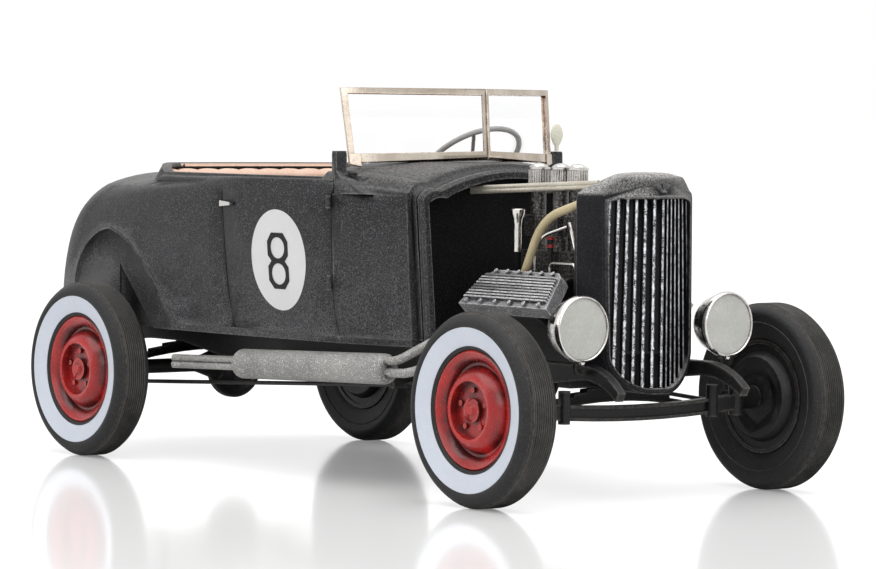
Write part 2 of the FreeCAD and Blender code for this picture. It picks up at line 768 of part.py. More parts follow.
def hood_flange():
    """Rounded, grooved flange in front of the fire wall, open at the foot."""
    x0 = WALL_X - FLANGE_ROOT
    x1 = WALL_X + FLANGE_LEN
    flange = wall_prism(FLANGE_INSET, x0, x1 - FLANGE_ROUND)
    nose = Part.makeLoft([wall_section(FLANGE_INSET, x1 - FLANGE_ROUND),
                          wall_section(FLANGE_INSET + FLANGE_ROUND, x1)], True, True)
    flange = flange.fuse(nose).cut(wall_prism(FLANGE_INSET + FLANGE_W, x0 - 1, x1 + 1))
    groove_x = WALL_X + FLANGE_GROOVE_X
    groove = wall_prism(0, groove_x, groove_x + FLANGE_GROOVE_W)
    groove = groove.cut(wall_prism(FLANGE_INSET + FLANGE_GROOVE_DEPTH, groove_x - 1, groove_x + 1))
    leg = WALL_FOOT[0] - FLANGE_FOOT
    return flange.cut(groove).cut(box(0, BEYOND, -leg, leg, 0, SILL_Z + 1))


def panel_lines():
    """Engraved door shut lines and the outline of the rear deck lid."""
    skin = body_loft(BODY_LEVELS, 0).cut(body_loft(BODY_LEVELS, LINE_DEPTH))
    deck_skin = body_loft(DECK_LEVELS, 0, False).cut(body_loft(DECK_LEVELS, LINE_DEPTH, False))
    half = LINE_W / 2
    cuts = []
    for x in (HINGE_X, LATCH_X):
        cuts.append(box(x - half, x + half, -BEYOND, BEYOND, SILL_Z, BELT_Z).common(skin))
    for y in (-LID_HALF, LID_HALF):
        edge = box(-BEYOND, COCKPIT_REAR - RIM_W, y - half, y + half, LID_LOW_Z, BEYOND)
        cuts += [edge.common(skin), edge.common(deck_skin)]
    foot = box(-BEYOND, 0, -LID_HALF, LID_HALF, LID_LOW_Z, LID_LOW_Z + LINE_W)
    cuts.append(foot.common(skin))
    return Part.makeCompound(cuts)


def body_shell():
    outer = fused([body_loft(BODY_LEVELS, 0), body_loft(DECK_LEVELS, 0, False), sill_bead(),
                   cowl_loft(SEAM_STEP, WALL_X, BELT_Z - WALL / 2), cowl_sides(),
                   arch_bead(), mirrored(arch_bead())])
    below = Part.Face(plan_wire(BODY_LEVELS[0], WALL, SILL_Z - 1)).extrude(V(0, 0, 1 + FLOOR_T))
    above = box(-BEYOND, BEYOND, -BEYOND, BEYOND, BELT_Z - WALL, BEYOND)
    hollow = body_loft(BODY_LEVELS, WALL).cut(above).fuse(below).cut(housing_block())
    cowl_space = cowl_loft(WALL, WALL_X, BELT_Z - WALL - SEAT_FIT)
    plate_x = WALL_X - FLANGE_ROOT - FIREWALL_T
    mouth = wall_prism(WALL, plate_x, WALL_X + 1)
    leg = WALL_FOOT[0] - WALL
    foot_slot = box(plate_x, WALL_X + 1, -leg, leg, SILL_Z - 1, SILL_Z + 1)
    shell = outer.cut(hollow).cut(cowl_space).cut(mouth).cut(foot_slot)
    left_post = stanchion().cut(cowl_space)
    curl = belt_curl()
    shell = fused([shell, cockpit_rim(), hood_flange(), left_post, mirrored(left_post)]
                  + curl + [mirrored(piece) for piece in curl])
    shell = shell.cut(cockpit_prism(0, BELT_Z - 3 * WALL, RIM_TOP - RIM_ROUND))
    shell = shell.cut(both(arch_prism(ARCH_FACE - ARCH_DEPTH, ARCH_FACE + 2)))
    shell = fused([shell, tub_panel(), mirrored(tub_panel())])
    return shell.cut(panel_lines())


def firewall():
    front = WALL_X - FLANGE_ROOT
    return wall_prism(WALL + SEAT_FIT, front - FIREWALL_T, front)


# -------------------------------------------------------------- floor and seat
PLATE_X = WALL_X - FLANGE_ROOT - FIREWALL_T      # rear face of the fire wall
ROLL_PITCH = 2 * SEAT_HALF / ROLL_COUNT


def floor_pan():
    plate = Part.Face(plan_wire(BODY_LEVELS[0], WALL + SEAT_FIT, SILL_Z)).extrude(V(0, 0, FLOOR_T))
    ahead = box(PLATE_X, PLATE_X + BEYOND, -BEYOND, BEYOND, 0, BEYOND)
    return plate.cut(housing_block(SEAT_FIT)).cut(ahead)


def seat_cushion():
    """Cushion with fore-and-aft rolls and a rounded front edge."""
    x0 = SEAT_X + BACK_RAKE + BACK_T + ROLL_BULGE + SEAT_FIT
    x1 = x0 + SEAT_DEPTH
    height = SEAT_TOP - FLOOR_TOP
    pad = padded_face(V(x0, -SEAT_HALF, SEAT_TOP), V(0, ROLL_PITCH, 0), ROLL_COUNT,
                      V(0, 0, ROLL_BULGE), V(0, 0, -height)).extrude(V(SEAT_DEPTH, 0, 0))
    y = -SEAT_HALF - 1
    crest = SEAT_TOP + 2 * ROLL_BULGE
    rear_top, bend = V(x0, y, crest), V(x1 - CUSHION_ROUND, y, crest)
    corner = V(x1 - CUSHION_ROUND * 0.3, y, crest - CUSHION_ROUND * 0.3)
    face_top, face_foot = V(x1, y, crest - CUSHION_ROUND), V(x1, y, FLOOR_TOP)
    edges = [line(rear_top, bend), arc(bend, corner, face_top), line(face_top, face_foot)]
    edges += [line(face_foot, V(x0, y, FLOOR_TOP)), line(V(x0, y, FLOOR_TOP), rear_top)]
    side = Part.Face(Part.Wire(edges)).extrude(V(0, 2 * (SEAT_HALF + 1), 0))
    return pad.common(side)


def seat_back():
    """Raked back with upright rolls and a scalloped top, wider above the housings."""
    count = ROLL_COUNT + 2
    half = ROLL_PITCH * count / 2
    foot = V(SEAT_X + BACK_RAKE + BACK_T, -half, FLOOR_TOP)
    rake = V(-BACK_RAKE, 0, BACK_TOP - FLOOR_TOP)
    pad = padded_face(foot, V(0, ROLL_PITCH, 0), count, V(ROLL_BULGE, 0, 0), V(-BACK_T, 0, 0)).extrude(rake)
    scallop = padded_face(V(SEAT_X - 1, -half, BACK_TOP - SCALLOP), V(0, ROLL_PITCH, 0), count,
                          V(0, 0, SCALLOP * 0.9), V(0, 0, -BACK_TOP)).extrude(V(BACK_T + BACK_CLEAR, 0, 0))
    y = -half - 1
    front_top = V(SEAT_X + BACK_T + 2 * ROLL_BULGE, y, BACK_TOP - BACK_ROUND)
    crown = V(SEAT_X + BACK_T * 0.62, y, BACK_TOP)
    rear_top = V(SEAT_X, y, BACK_TOP - BACK_ROUND / 2)
    corners = [rear_top, V(SEAT_X, y, FLOOR_TOP), V(SEAT_X + BACK_T + BACK_CLEAR, y, FLOOR_TOP), front_top]
    edges = [arc(front_top, crown, rear_top)] + [line(a, b) for a, b in zip(corners, corners[1:])]
    side = Part.Face(Part.Wire(edges)).extrude(V(0, 2 * (half + 1), 0))
    below = box(SEAT_X - 1, SEAT_X + BACK_T + BACK_CLEAR, SEAT_HALF, BEYOND, 0, BACK_WING_Z)
    opening = cockpit_prism(-TRIM_GAP, FLOOR_TOP - 1, BACK_TOP + 1)
    return pad.common(scallop).common(side).cut(both(below)).common(opening)


def door_trims():
    """Padded panels inside the doors, with upright seams."""
    outer, inner = WALL + TRIM_GAP, WALL + TRIM_GAP + TRIM_T
    sheet = body_loft(BODY_LEVELS, outer).cut(body_loft(BODY_LEVELS, inner))
    seam_skin = body_loft(BODY_LEVELS, inner - LINE_W).cut(body_loft(BODY_LEVELS, inner))
    top = BELT_Z - WALL - TRIM_GAP
    left = box(TRIM_X0, TRIM_X1, 0, BEYOND, FLOOR_TOP + SEAT_FIT, top).common(sheet)
    pitch = (TRIM_X1 - TRIM_X0) / TRIM_ROLLS
    for i in range(1, TRIM_ROLLS):
        x = TRIM_X0 + pitch * i
        left = left.cut(box(x - LINE_W / 2, x + LINE_W / 2, 0, BEYOND, 0, BEYOND).common(seam_skin))
    return both(left)


def dashboard():
    foot = (HINGE_BELT, DASH_BOTTOM)
    wire = front_section(COCKPIT_FRONT + SEAT_FIT, foot, (HINGE_BELT, BELT_Z), COWL_EYE, COWL_CROWN,
                         WALL + DASH_FIT)
    panel = Part.Face(wire).extrude(V(DASH_T, 0, 0))
    return panel.cut(column(COLUMN_R + SEAT_FIT))


# --------------------------------------------------------------------- chassis
RAIL_LOW = RAIL_TOP - RAIL_H


def horn():
    """Front end of the left rail, curling down to a narrow tip."""
    inner, outer = RAIL_FRONT_Y - RAIL_W / 2, RAIL_FRONT_Y + RAIL_W / 2
    tip = HORN_TIP_W / 2
    plan = [V(RAIL_FRONT_X, inner, 0), V(HORN_X, HORN_Y - tip, 0), V(HORN_X, HORN_Y + tip, 0),
            V(RAIL_FRONT_X, outer, 0)]
    column_of_plan = prism(plan, V(0, 0, RAIL_TOP + 1))
    top, low = HORN_Z + HORN_TIP_H / 2, HORN_Z - HORN_TIP_H / 2
    run = HORN_X - HORN_ROOT_X
    root_low = RAIL_TOP - HORN_ROOT_H
    upper_bend = V(HORN_ROOT_X + run * 0.61, 0, RAIL_TOP - (RAIL_TOP - top) * 0.37)
    lower_bend = V(HORN_ROOT_X + run * 0.50, 0, root_low - (root_low - low) * 0.28)
    upper = [V(HORN_ROOT_X, 0, RAIL_TOP), upper_bend, V(HORN_X, 0, top)]
    lower = [V(HORN_X - HORN_TIP_CUT, 0, low), lower_bend, V(HORN_ROOT_X - HORN_TIP_CUT, 0, root_low)]
    rear = [V(RAIL_FRONT_X, 0, RAIL_LOW), V(RAIL_FRONT_X, 0, RAIL_TOP)]
    edges = [arc(*upper), line(upper[2], lower[0]), arc(*lower), line(lower[2], rear[0]),
             line(rear[0], rear[1]), line(rear[1], upper[0])]
    return Part.Face(Part.Wire(edges)).extrude(V(0, BEYOND, 0)).common(column_of_plan)


def rail():
    """Left frame rail: kicked up over the rear axle, pinched in at the front."""
    top, low = RAIL_TOP, RAIL_LOW
    y = RAIL_Y - RAIL_W / 2
    side = [(RAIL_REAR_X, top), (RAIL_REAR_X, low + KICK_RISE), (KICK_X0, low + KICK_RISE), (KICK_X1, low),
            (RAIL_TAPER_X, low), (RAIL_TAPER_X, top)]
    rear = prism([V(x, y, z) for x, z in side], V(0, RAIL_W, 0))
    pinch = RAIL_FRONT_Y - RAIL_Y
    plan = [V(RAIL_TAPER_X, y, low), V(RAIL_FRONT_X, y + pinch, low),
            V(RAIL_FRONT_X, y + pinch + RAIL_W, low), V(RAIL_TAPER_X, y + RAIL_W, low)]
    front = prism(plan, V(0, 0, RAIL_H))
    return fused([rear, front, horn()])


def rail_middle(x):
    """y of the left rail's middle line at x."""
    for x0, x1, y0, y1 in ((RAIL_TAPER_X, RAIL_FRONT_X, RAIL_Y, RAIL_FRONT_Y),
                           (RAIL_FRONT_X, HORN_X, RAIL_FRONT_Y, HORN_Y)):
        if x0 <= x <= x1:
            return y0 + (y1 - y0) * (x - x0) / (x1 - x0)
    return RAIL_Y


def crossmembers():
    bars = []
    for x, z0, z1 in ((RAIL_REAR_X, RAIL_LOW + KICK_RISE, RAIL_TOP), (REAR_CROSS_X, REAR_CROSS_Z, RAIL_TOP),
                      (MID_CROSS_X, RAIL_TOP - MID_CROSS_H, RAIL_TOP),
                      (FRONT_CROSS_X, FRONT_CROSS_Z, RAIL_TOP - FRONT_CROSS_DROP)):
        half = min(rail_middle(x), rail_middle(x + CROSS_W)) - RAIL_W / 2
        bars.append(box(x, x + CROSS_W, -half, half, z0, z1))
    return Part.makeCompound(bars)


def gearbox():
    z = GEARBOX_Z
    case = rod(V(GEARBOX_REAR_X, 0, z), V(ENGINE_X0, 0, z), GEARBOX_R)
    bell = cone(V(ENGINE_X0 - BELL_LEN, 0, z), V(ENGINE_X0, 0, z), GEARBOX_R, BELL_R)
    pan = box(GEARBOX_PAN[0], GEARBOX_PAN[1], -PAN_HALF, PAN_HALF, PAN_Z, z)
    return fused([case, bell, pan])


def driveshaft():
    start = V(BANJO_NOSE + JOINT_GAP, 0, TYRE_R)
    end = V(GEARBOX_REAR_X - JOINT_GAP, 0, GEARBOX_Z)
    return rod(start, end, SHAFT_R)


# ---------------------------------------------------------------------- engine
SLOPE = math.radians(HEAD_SLOPE)
HEAD_OUT = V(0, math.cos(SLOPE), -math.sin(SLOPE))
HEAD_NORMAL = V(0, math.sin(SLOPE), math.cos(SLOPE))
VALLEY_Z = HEAD_Z + HEAD_W / 2 * math.sin(SLOPE) - (HEAD_T + SEAT_FIT) * math.cos(SLOPE) + VALLEY_RISE


def head_point(x, across, rise):
    """Point of the left head: along the car, down its slope and off its top face."""
    return V(x, HEAD_Y, HEAD_Z) + HEAD_OUT * across + HEAD_NORMAL * rise


def head_ends(across):
    """Front and rear end of the head at a place across it."""
    share = across / HEAD_W + 0.5
    into = across + HEAD_W / 2
    rear = HEAD_X0 - HEAD_SKEW * share + max(0, HEAD_NECK - into)
    front = HEAD_X1 - HEAD_SKEW * (1 - 2 * share) - max(0, HEAD_NECK / 2 - into)
    return rear, front


def cylinder_head():
    """Finned head with its upper corners cut off and a row of bolts along each edge."""
    half = HEAD_W / 2
    places = (-half, -half + HEAD_NECK / 2, -half + HEAD_NECK, half)
    rears = [head_point(head_ends(a)[0], a, -HEAD_T) for a in places]
    fronts = [head_point(head_ends(a)[1], a, -HEAD_T) for a in places]
    pieces = [prism(rears + fronts[::-1], HEAD_NORMAL * (HEAD_T - FIN_H))]
    pitch = (HEAD_W - 2 * HEAD_STRIP) / FIN_COUNT
    for i in range(FIN_COUNT):
        start = -half + HEAD_STRIP + pitch * (i + (1 - FIN_SHARE) / 2)
        stop = start + pitch * FIN_SHARE
        corners = []
        for across, order in ((start, 1), (stop, -1)):
            rear, front = head_ends(across)
            ends = (rear + FIN_MARGIN, front - FIN_MARGIN)
            corners += [head_point(x, across, -FIN_H) for x in ends[::order]]
        pieces.append(prism(corners, HEAD_NORMAL * FIN_H))
    for across in (-half + HEAD_STRIP / 2, half - HEAD_STRIP / 2):
        rear, front = head_ends(across)
        for i in range(BOLT_COUNT):
            x = rear + (front - rear) * (i + 0.5) / BOLT_COUNT
            pieces.append(rod(head_point(x, across, -FIN_H), head_point(x, across, BOLT_H - FIN_H), BOLT_R))
    return fused(pieces)


def engine_block():
    upper = head_point(0, -HEAD_W / 2, -HEAD_T - SEAT_FIT)
    lower = head_point(0, HEAD_W / 2, -HEAD_T - SEAT_FIT)
    half = [(SUMP_HALF, ENGINE_BOTTOM), (SKIRT_HALF, SKIRT_Z), (lower.y, lower.z), (upper.y, upper.z),
            (upper.y - VALLEY_IN, VALLEY_Z)]
    section = [V(ENGINE_X0, y, z) for y, z in half] + [V(ENGINE_X0, -y, z) for y, z in half[::-1]]
    return prism(section, V(ENGINE_LEN, 0, 0))


def intake():
    """Manifold on the valley with a carburettor under each filter."""
    low = VALLEY_Z + SEAT_FIT
    x0, x1 = CARB_X[0] - CARB_BASE_R, CARB_X[-1] + CARB_BASE_R
    pieces = [box(x0, x1, -MANIFOLD_HALF, MANIFOLD_HALF, low, MANIFOLD_TOP)]
    bowl_z = MANIFOLD_TOP + RISER_H
    for x in CARB_X:
        pieces.append(rod(V(x, 0, MANIFOLD_TOP - SEAT_FIT), V(x, 0, bowl_z), CARB_BASE_R))
        pieces.append(box(x - CARB_BOWL / 2, x + CARB_BOWL / 2, -CARB_BOWL_HALF, CARB_BOWL_HALF,
                          bowl_z, bowl_z + CARB_BOWL_H))
        pieces.append(rod(V(x, 0, bowl_z), V(x, 0, FILTER_Z), CARB_R))
    return fused(pieces)


def dome(centre, radius, rise):
    """Shallow cap of a sphere standing on a circle about the centre."""
    ball_r = (radius ** 2 + rise ** 2) / (2 * rise)
    ball = Part.makeSphere(ball_r, centre + V(0, 0, rise - ball_r))
    return ball.common(rod(centre, centre + V(0, 0, 2 * rise), radius))


def air_filters():
    cans = []
    for x in CARB_X:
        foot = V(x, 0, FILTER_Z + SEAT_FIT)
        cap = foot + V(0, 0, FILTER_H)
        top = cap + V(0, 0, FILTER_CAP)
        brim = FILTER_R + FILTER_BRIM
        can = [rod(foot, cap, FILTER_R), rod(cap, top, brim), dome(top, FILTER_R, FILTER_DOME)]
        cans.append(fused(can))
    return Part.makeCompound(cans)


def breather():
    """Trumpet of the oil filler, open at the top."""
    heights = (VALLEY_Z + SEAT_FIT, BREATHER_WAIST, BREATHER_NECK, BREATHER_TOP - BREATHER_LIP, BREATHER_TOP)
    foot, waist, neck, lip, top = [V(BREATHER_X, BREATHER_Y, z) for z in heights]
    neck_r = (BREATHER_R + BREATHER_STEM_R) / 3
    body = fused([rod(foot, waist, BREATHER_STEM_R), cone(waist, neck, BREATHER_STEM_R, neck_r),
                  cone(neck, lip, neck_r, BREATHER_R), rod(lip, top, BREATHER_R)])
    return body.cut(cone(neck, top, neck_r / 2, BREATHER_R * 0.8))


def hoses():
    """Left and right coolant hose, from the valley over to the radiator's top."""
    foot = V(HOSE_FOOT_X, HOSE_Y, VALLEY_Z + HOSE_R / 2 + SEAT_FIT)
    bend = V(HOSE_BEND[0], HOSE_Y, HOSE_BEND[1])
    return both(pipe([foot, bend, V(SHELL_BACK - HOSE_R / 2, HOSE_Y, HOSE_TOP_Z)], HOSE_R))


def distributor():
    """Two red caps one above the other on their shaft."""
    foot, top = V(SPARK_X, SPARK_Y, VALLEY_Z + SEAT_FIT), V(SPARK_X, SPARK_Y, SPARK_TOP)
    pieces = [rod(foot, top, SPARK_R / 2)]
    for drop in (0, SPARK_STEP):
        high = top - V(0, 0, drop)
        pieces.append(rod(high - V(0, 0, SPARK_CAP_H), high, SPARK_R))
    return fused(pieces)


def engine_pipes():
    """Fuel line, coolant by-pass and throttle rod beside the carburettors."""
    foot = VALLEY_Z + LINE_R + SEAT_FIT
    side = -CARB_BOWL_HALF - LINE_R - SEAT_FIT
    bowl = MANIFOLD_TOP + RISER_H + CARB_BOWL_H / 2
    bend = V(FUEL_X, FUEL_Y, FUEL_BEND_Z)
    fuel = pipe([V(CARB_X[-1], side, bowl), bend, V(FUEL_X, FUEL_Y, foot)], LINE_R)
    x0, x1 = BYPASS_X
    bypass = pipe([V(x0, BYPASS_Y, foot), V(x0, BYPASS_Y, BYPASS_Z), V(x1, BYPASS_Y, BYPASS_Z),
                   V(x1, BYPASS_Y, foot)], LINE_R)
    throttle = rod(V(*THROTTLE[0]), V(*THROTTLE[1]), LINE_R)
    return Part.makeCompound([fuel, bypass, throttle])


def fan():
    x = ENGINE_X0 + ENGINE_LEN + SEAT_FIT
    pieces = [rod(V(x, 0, FAN_Z), V(x + FAN_HUB_LEN, 0, FAN_Z), FAN_HUB_R)]
    blade_x = x + FAN_HUB_LEN / 2 - FAN_BLADE_T / 2
    for i in range(FAN_BLADES):
        blade = box(blade_x, blade_x + FAN_BLADE_T, -FAN_BLADE_W / 2, FAN_BLADE_W / 2,
                    FAN_Z + FAN_HUB_R / 2, FAN_Z + FAN_R)
        blade.rotate(V(x, 0, FAN_Z), V(1, 0, 0), 360 / FAN_BLADES * (i + 0.5))
        pieces.append(blade)
    return fused(pieces)


# ----------------------------------------------------------- radiator and grille
OPENING_DROP = GRILLE_TOP - SHELL_PEAK + SHELL_RIM     # grille opening ends lower than the shell


def shell_face(grow, x0, x1, top_extra=0.0):
    """Front outline of the grille shell, grown outwards, from x0 to x1."""
    half = SHELL_HALF + grow
    foot = SHELL_FOOT + grow
    bottom = SHELL_BOTTOM - grow
    peak = SHELL_PEAK + grow + top_extra
    climb = peak - SHELL_SHOULDER
    shoulder = V(x0, half, SHELL_SHOULDER)
    crown = V(x0, half - SHELL_EYE_IN * 0.3, SHELL_SHOULDER + climb * 0.62)
    eye = V(x0, half - SHELL_EYE_IN, SHELL_SHOULDER + climb * 0.90)
    top = V(x0, 0, peak)
    low = V(x0, foot, SHELL_BOTTOM + SHELL_CHIN_H)
    chin = V(x0, foot * 0.78, SHELL_BOTTOM + SHELL_CHIN_H * 0.365 - grow * 0.7)
    tip = V(x0, 0, bottom)
    edges = [line(low, shoulder), arc(shoulder, crown, eye), arc(eye, top, flip(eye)),
             arc(flip(eye), flip(crown), flip(shoulder)), line(flip(shoulder), flip(low)),
             arc(flip(low), flip(chin), tip), arc(tip, chin, low)]
    return Part.Face(Part.Wire(edges)).extrude(V(x1 - x0, 0, 0))


def prow(inset):
    """Everything behind the V-shaped front, drawn back by inset."""
    back = SHELL_BACK - 2
    nose = SHELL_NOSE - inset
    slope = (SHELL_NOSE - SHELL_EDGE) / SHELL_HALF
    wide = SHELL_HALF + 2
    side = nose - slope * wide
    return prism([V(back, -wide, 0), V(side, -wide, 0), V(nose, 0, 0), V(side, wide, 0), V(back, wide, 0)],
                 V(0, 0, BEYOND))


def dome_profile():
    """Side view: upright front that rolls over the top to the rear."""
    y = -SHELL_HALF - 1
    front = V(SHELL_NOSE, y, SHELL_PEAK - 1.2 * (SHELL_NOSE - SHELL_TOP_X) / 1.28)
    roll = V(SHELL_TOP_X + (SHELL_NOSE - SHELL_TOP_X) * 0.75, y, SHELL_PEAK - SHELL_DROP * 0.93)
    top = V(SHELL_TOP_X, y, SHELL_PEAK)
    rear = V(SHELL_BACK, y, SHELL_PEAK - SHELL_DROP)
    corners = [rear, V(SHELL_BACK, y, 0), V(SHELL_NOSE, y, 0), front]
    edges = [arc(front, roll, top), line(top, rear)] + [line(a, b) for a, b in zip(corners, corners[1:])]
    return Part.Face(Part.Wire(edges)).extrude(V(0, -2 * y, 0))


def opening_face(grow):
    return shell_face(grow - SHELL_RIM, SHELL_BACK - 1, SHELL_NOSE + 1, OPENING_DROP)


def grille_shell():
    """Domed shell with a bead round its opening and a slot in its brow."""
    outer = shell_face(0, SHELL_BACK, SHELL_NOSE + 1).common(prow(0)).common(dome_profile())
    bead = opening_face(GRILLE_BEAD).common(prow(-GRILLE_BEAD / 2)).cut(prow(GRILLE_BEAD))
    slot = box(SHELL_NOSE - BROW_SLOT_DEPTH, BEYOND + SHELL_NOSE, -LINE_W / 2, LINE_W / 2,
               BROW_SLOT_Z - BROW_SLOT_H / 2, BROW_SLOT_Z + BROW_SLOT_H / 2)
    return fused([outer, bead]).cut(opening_face(0)).cut(slot)


def grille_insert():
    """V-shaped insert with its row of upright bars and one level bar."""
    space = shell_face(-SHELL_RIM - SEAT_FIT, SHELL_BACK, SHELL_NOSE + 1, OPENING_DROP)
    backing = space.common(prow(GRILLE_BACK)).cut(prow(GRILLE_BACK + GRILLE_T))
    band = space.common(prow(GRILLE_BACK - BAR_PROUD)).cut(prow(GRILLE_BACK + GRILLE_T / 2))
    half = SHELL_HALF - SHELL_RIM
    pitch = 2 * half / BAR_COUNT
    pieces = [backing]
    for i in range(BAR_COUNT):
        y = -half + pitch * (i + 0.5)
        pieces.append(box(SHELL_BACK, SHELL_NOSE + 1, y - BAR_W / 2, y + BAR_W / 2, 0, BEYOND).common(band))
    level = box(SHELL_BACK, SHELL_NOSE + 1, -half, half, CROSS_BAR_Z, CROSS_BAR_Z + CROSS_BAR_H)
    low_band = space.common(prow(GRILLE_BACK - CROSS_BAR_PROUD)).cut(prow(GRILLE_BACK + GRILLE_T / 2))
    return fused(pieces + [level.common(low_band)])


def radiator():
    half = SHELL_FOOT - CORE_SIDE
    foot = RAIL_TOP - FRONT_CROSS_DROP + SEAT_FIT
    return box(SHELL_BACK - CORE_T, SHELL_BACK, -half, half, foot, CORE_TOP)


# ----------------------------------------------------------------------- lamps
def headlamp():
    """Left bucket with its bezel, turned about the lamp's own axis."""
    front, rear = LAMP_X, LAMP_X - LAMP_LEN
    groove = front - BEZEL_W
    waist = LAMP_R - BEZEL_GROOVE
    round_r = LENS_SUNK * 2
    spots = [V(rear, 0, 0), V(front, 0, 0), V(front, LAMP_R - round_r, 0), V(front - round_r, LAMP_R, 0),
             V(groove, LAMP_R, 0), V(groove, waist, 0)]
    cap = V(rear, LAMP_CAP_R, 0)
    bulge = V(rear + LAMP_LEN * 0.3, LAMP_R * 0.80, 0)
    edges = [line(a, b) for a, b in zip(spots, spots[1:])]
    edges += [arc(spots[-1], bulge, cap), line(cap, spots[0])]
    bucket = Part.Face(Part.Wire(edges)).revolve(V(0, 0, 0), V(1, 0, 0), 360)
    bucket = bucket.cut(rod(V(front - LENS_SUNK - LENS_T, 0, 0), V(front + 1, 0, 0), LENS_R + SEAT_FIT))
    bucket.translate(V(0, LAMP_Y, LAMP_Z))
    return bucket


def headlamp_lens():
    """Left lens: a disc with a shallow dome on its front."""
    back = LAMP_X - LENS_SUNK - LENS_T + SEAT_FIT
    disc = rod(V(0, 0, 0), V(0, 0, LENS_T), LENS_R)
    lens = fused([disc, dome(V(0, 0, LENS_T), LENS_R, LENS_SUNK)])
    lens.rotate(V(0, 0, 0), V(0, 1, 0), 90)
    lens.translate(V(back, LAMP_Y, LAMP_Z))
    return lens


def lamp_bar():
    """Bracket that reaches out from each rail and up to the bucket's underside."""
    x = LAMP_X - LAMP_BAR_BACK
    z = RAIL_TOP - LAMP_BAR_DROP
    root = V(x, rail_middle(x) + RAIL_W / 2 + SEAT_FIT, z)
    return both(pipe([root, V(x, LAMP_Y, z), V(x, LAMP_Y, LAMP_Z - LAMP_R - SEAT_FIT)], LAMP_BAR_R))


# ------------------------------------------------------------------ windscreen
def screen_points():
    """Corners of the left half in one plane: outer foot, middle foot, middle top, outer top."""
    low = V(POST_X, POST_Y, POST_Z)
    nose = V(SCREEN_NOSE_X, 0, SCREEN_NOSE_Z)
    top = V(POST_X - SCREEN_LEAN, POST_Y, SCREEN_TOP)
    nose_top = nose + (top - low) * ((SCREEN_TOP - nose.z) / (top.z - low.z))
    return low, nose, nose_top, top


SCREEN = screen_points()
SCREEN_ALONG = (SCREEN[1] - SCREEN[0]).normalize()
SCREEN_UP = (SCREEN[3] - SCREEN[0]).normalize()


def slab(points, thickness):
    """Flat four-cornered plate about the plane of its points."""
    normal = (points[1] - points[0]).cross(points[3] - points[0]).normalize()
    return prism([p - normal * (thickness / 2) for p in points], normal * thickness)


def screen_pane(inset):
    """Corners of the left glass opening, drawn in by inset."""
    side, up = SCREEN_ALONG * (FRAME_W + inset), SCREEN_UP * (FRAME_W + inset)
    middle = SCREEN_ALONG * (FRAME_W / 2 + inset)
    low, nose, nose_top, top = SCREEN
    return [low + side + up, nose - middle + up, nose_top - middle - up, top + side - up]


def windscreen_frame():
    """V-shaped frame with a thicker foot at each stanchion."""
    low = SCREEN[0]
    half = slab(list(SCREEN), FRAME_T).cut(slab(screen_pane(0), FRAME_T * 3))
    foot = [low - SCREEN_UP * FOOT_DROP, low + SCREEN_ALONG * FOOT_LEN - SCREEN_UP * FOOT_DROP,
            low + SCREEN_ALONG * FOOT_LEN + SCREEN_UP * FRAME_W, low + SCREEN_UP * FRAME_W]
    half = half.fuse(slab(foot, FRAME_T * 1.4)).common(box(0, BEYOND, 0, BEYOND, 0, BEYOND))
    return fused([half, mirrored(half)])


def windscreen_panes():
    return both(slab(screen_pane(SEAT_FIT), PANE_T))


def mirror():
    """Oval mirror on a stalk that stands on the left stanchion."""
    thickness, width, height = MIRROR_OVAL
    stretch = FreeCAD.Matrix()
    stretch.scale(thickness, width, height)
    head = Part.makeSphere(MIRROR_R).transformGeometry(stretch)
    y = HINGE_BELT - STANCHION_IN - STANCHION_W / 2
    centre = V(POST_X + MIRROR_AHEAD, y, STANCHION_TOP + MIRROR_RISE)
    head.translate(centre)
    return fused([head, rod(V(centre.x, centre.y, STANCHION_TOP + SEAT_FIT), centre, MIRROR_STALK_R)])


# -------------------------------------------------------------------- controls
TILT = math.radians(90 - WHEEL_TILT)


def steering_wheel():
    """Ring, hub and spokes, made flat and then tilted on the column."""
    pieces = [Part.makeTorus(WHEEL_R, WHEEL_RIM_R),
              Part.makeCylinder(WHEEL_HUB_R, WHEEL_HUB_H, V(0, 0, -WHEEL_HUB_H / 2))]
    for i in range(SPOKE_COUNT):
        a = 2 * math.pi * (i / SPOKE_COUNT + 0.25)
        pieces.append(rod(V(0, 0, 0), V(math.cos(a), math.sin(a), 0) * WHEEL_R, SPOKE_R))
    wheel = fused(pieces)
    wheel.rotate(V(0, 0, 0), V(0, 1, 0), WHEEL_TILT - 90)
    wheel.translate(V(WHEEL_X, WHEEL_Y, WHEEL_Z))
    return wheel


def column(radius):
    """Steering column from under the hub to the fire wall."""
    down = V(math.sin(TILT), 0, -math.cos(TILT))
    start = V(WHEEL_X, WHEEL_Y, WHEEL_Z) + down * (WHEEL_HUB_H / 2 + SEAT_FIT)
    reach = (PLATE_X - 2 * COLUMN_R - start.x) / down.x
    return rod(start, start + down * reach, radius)


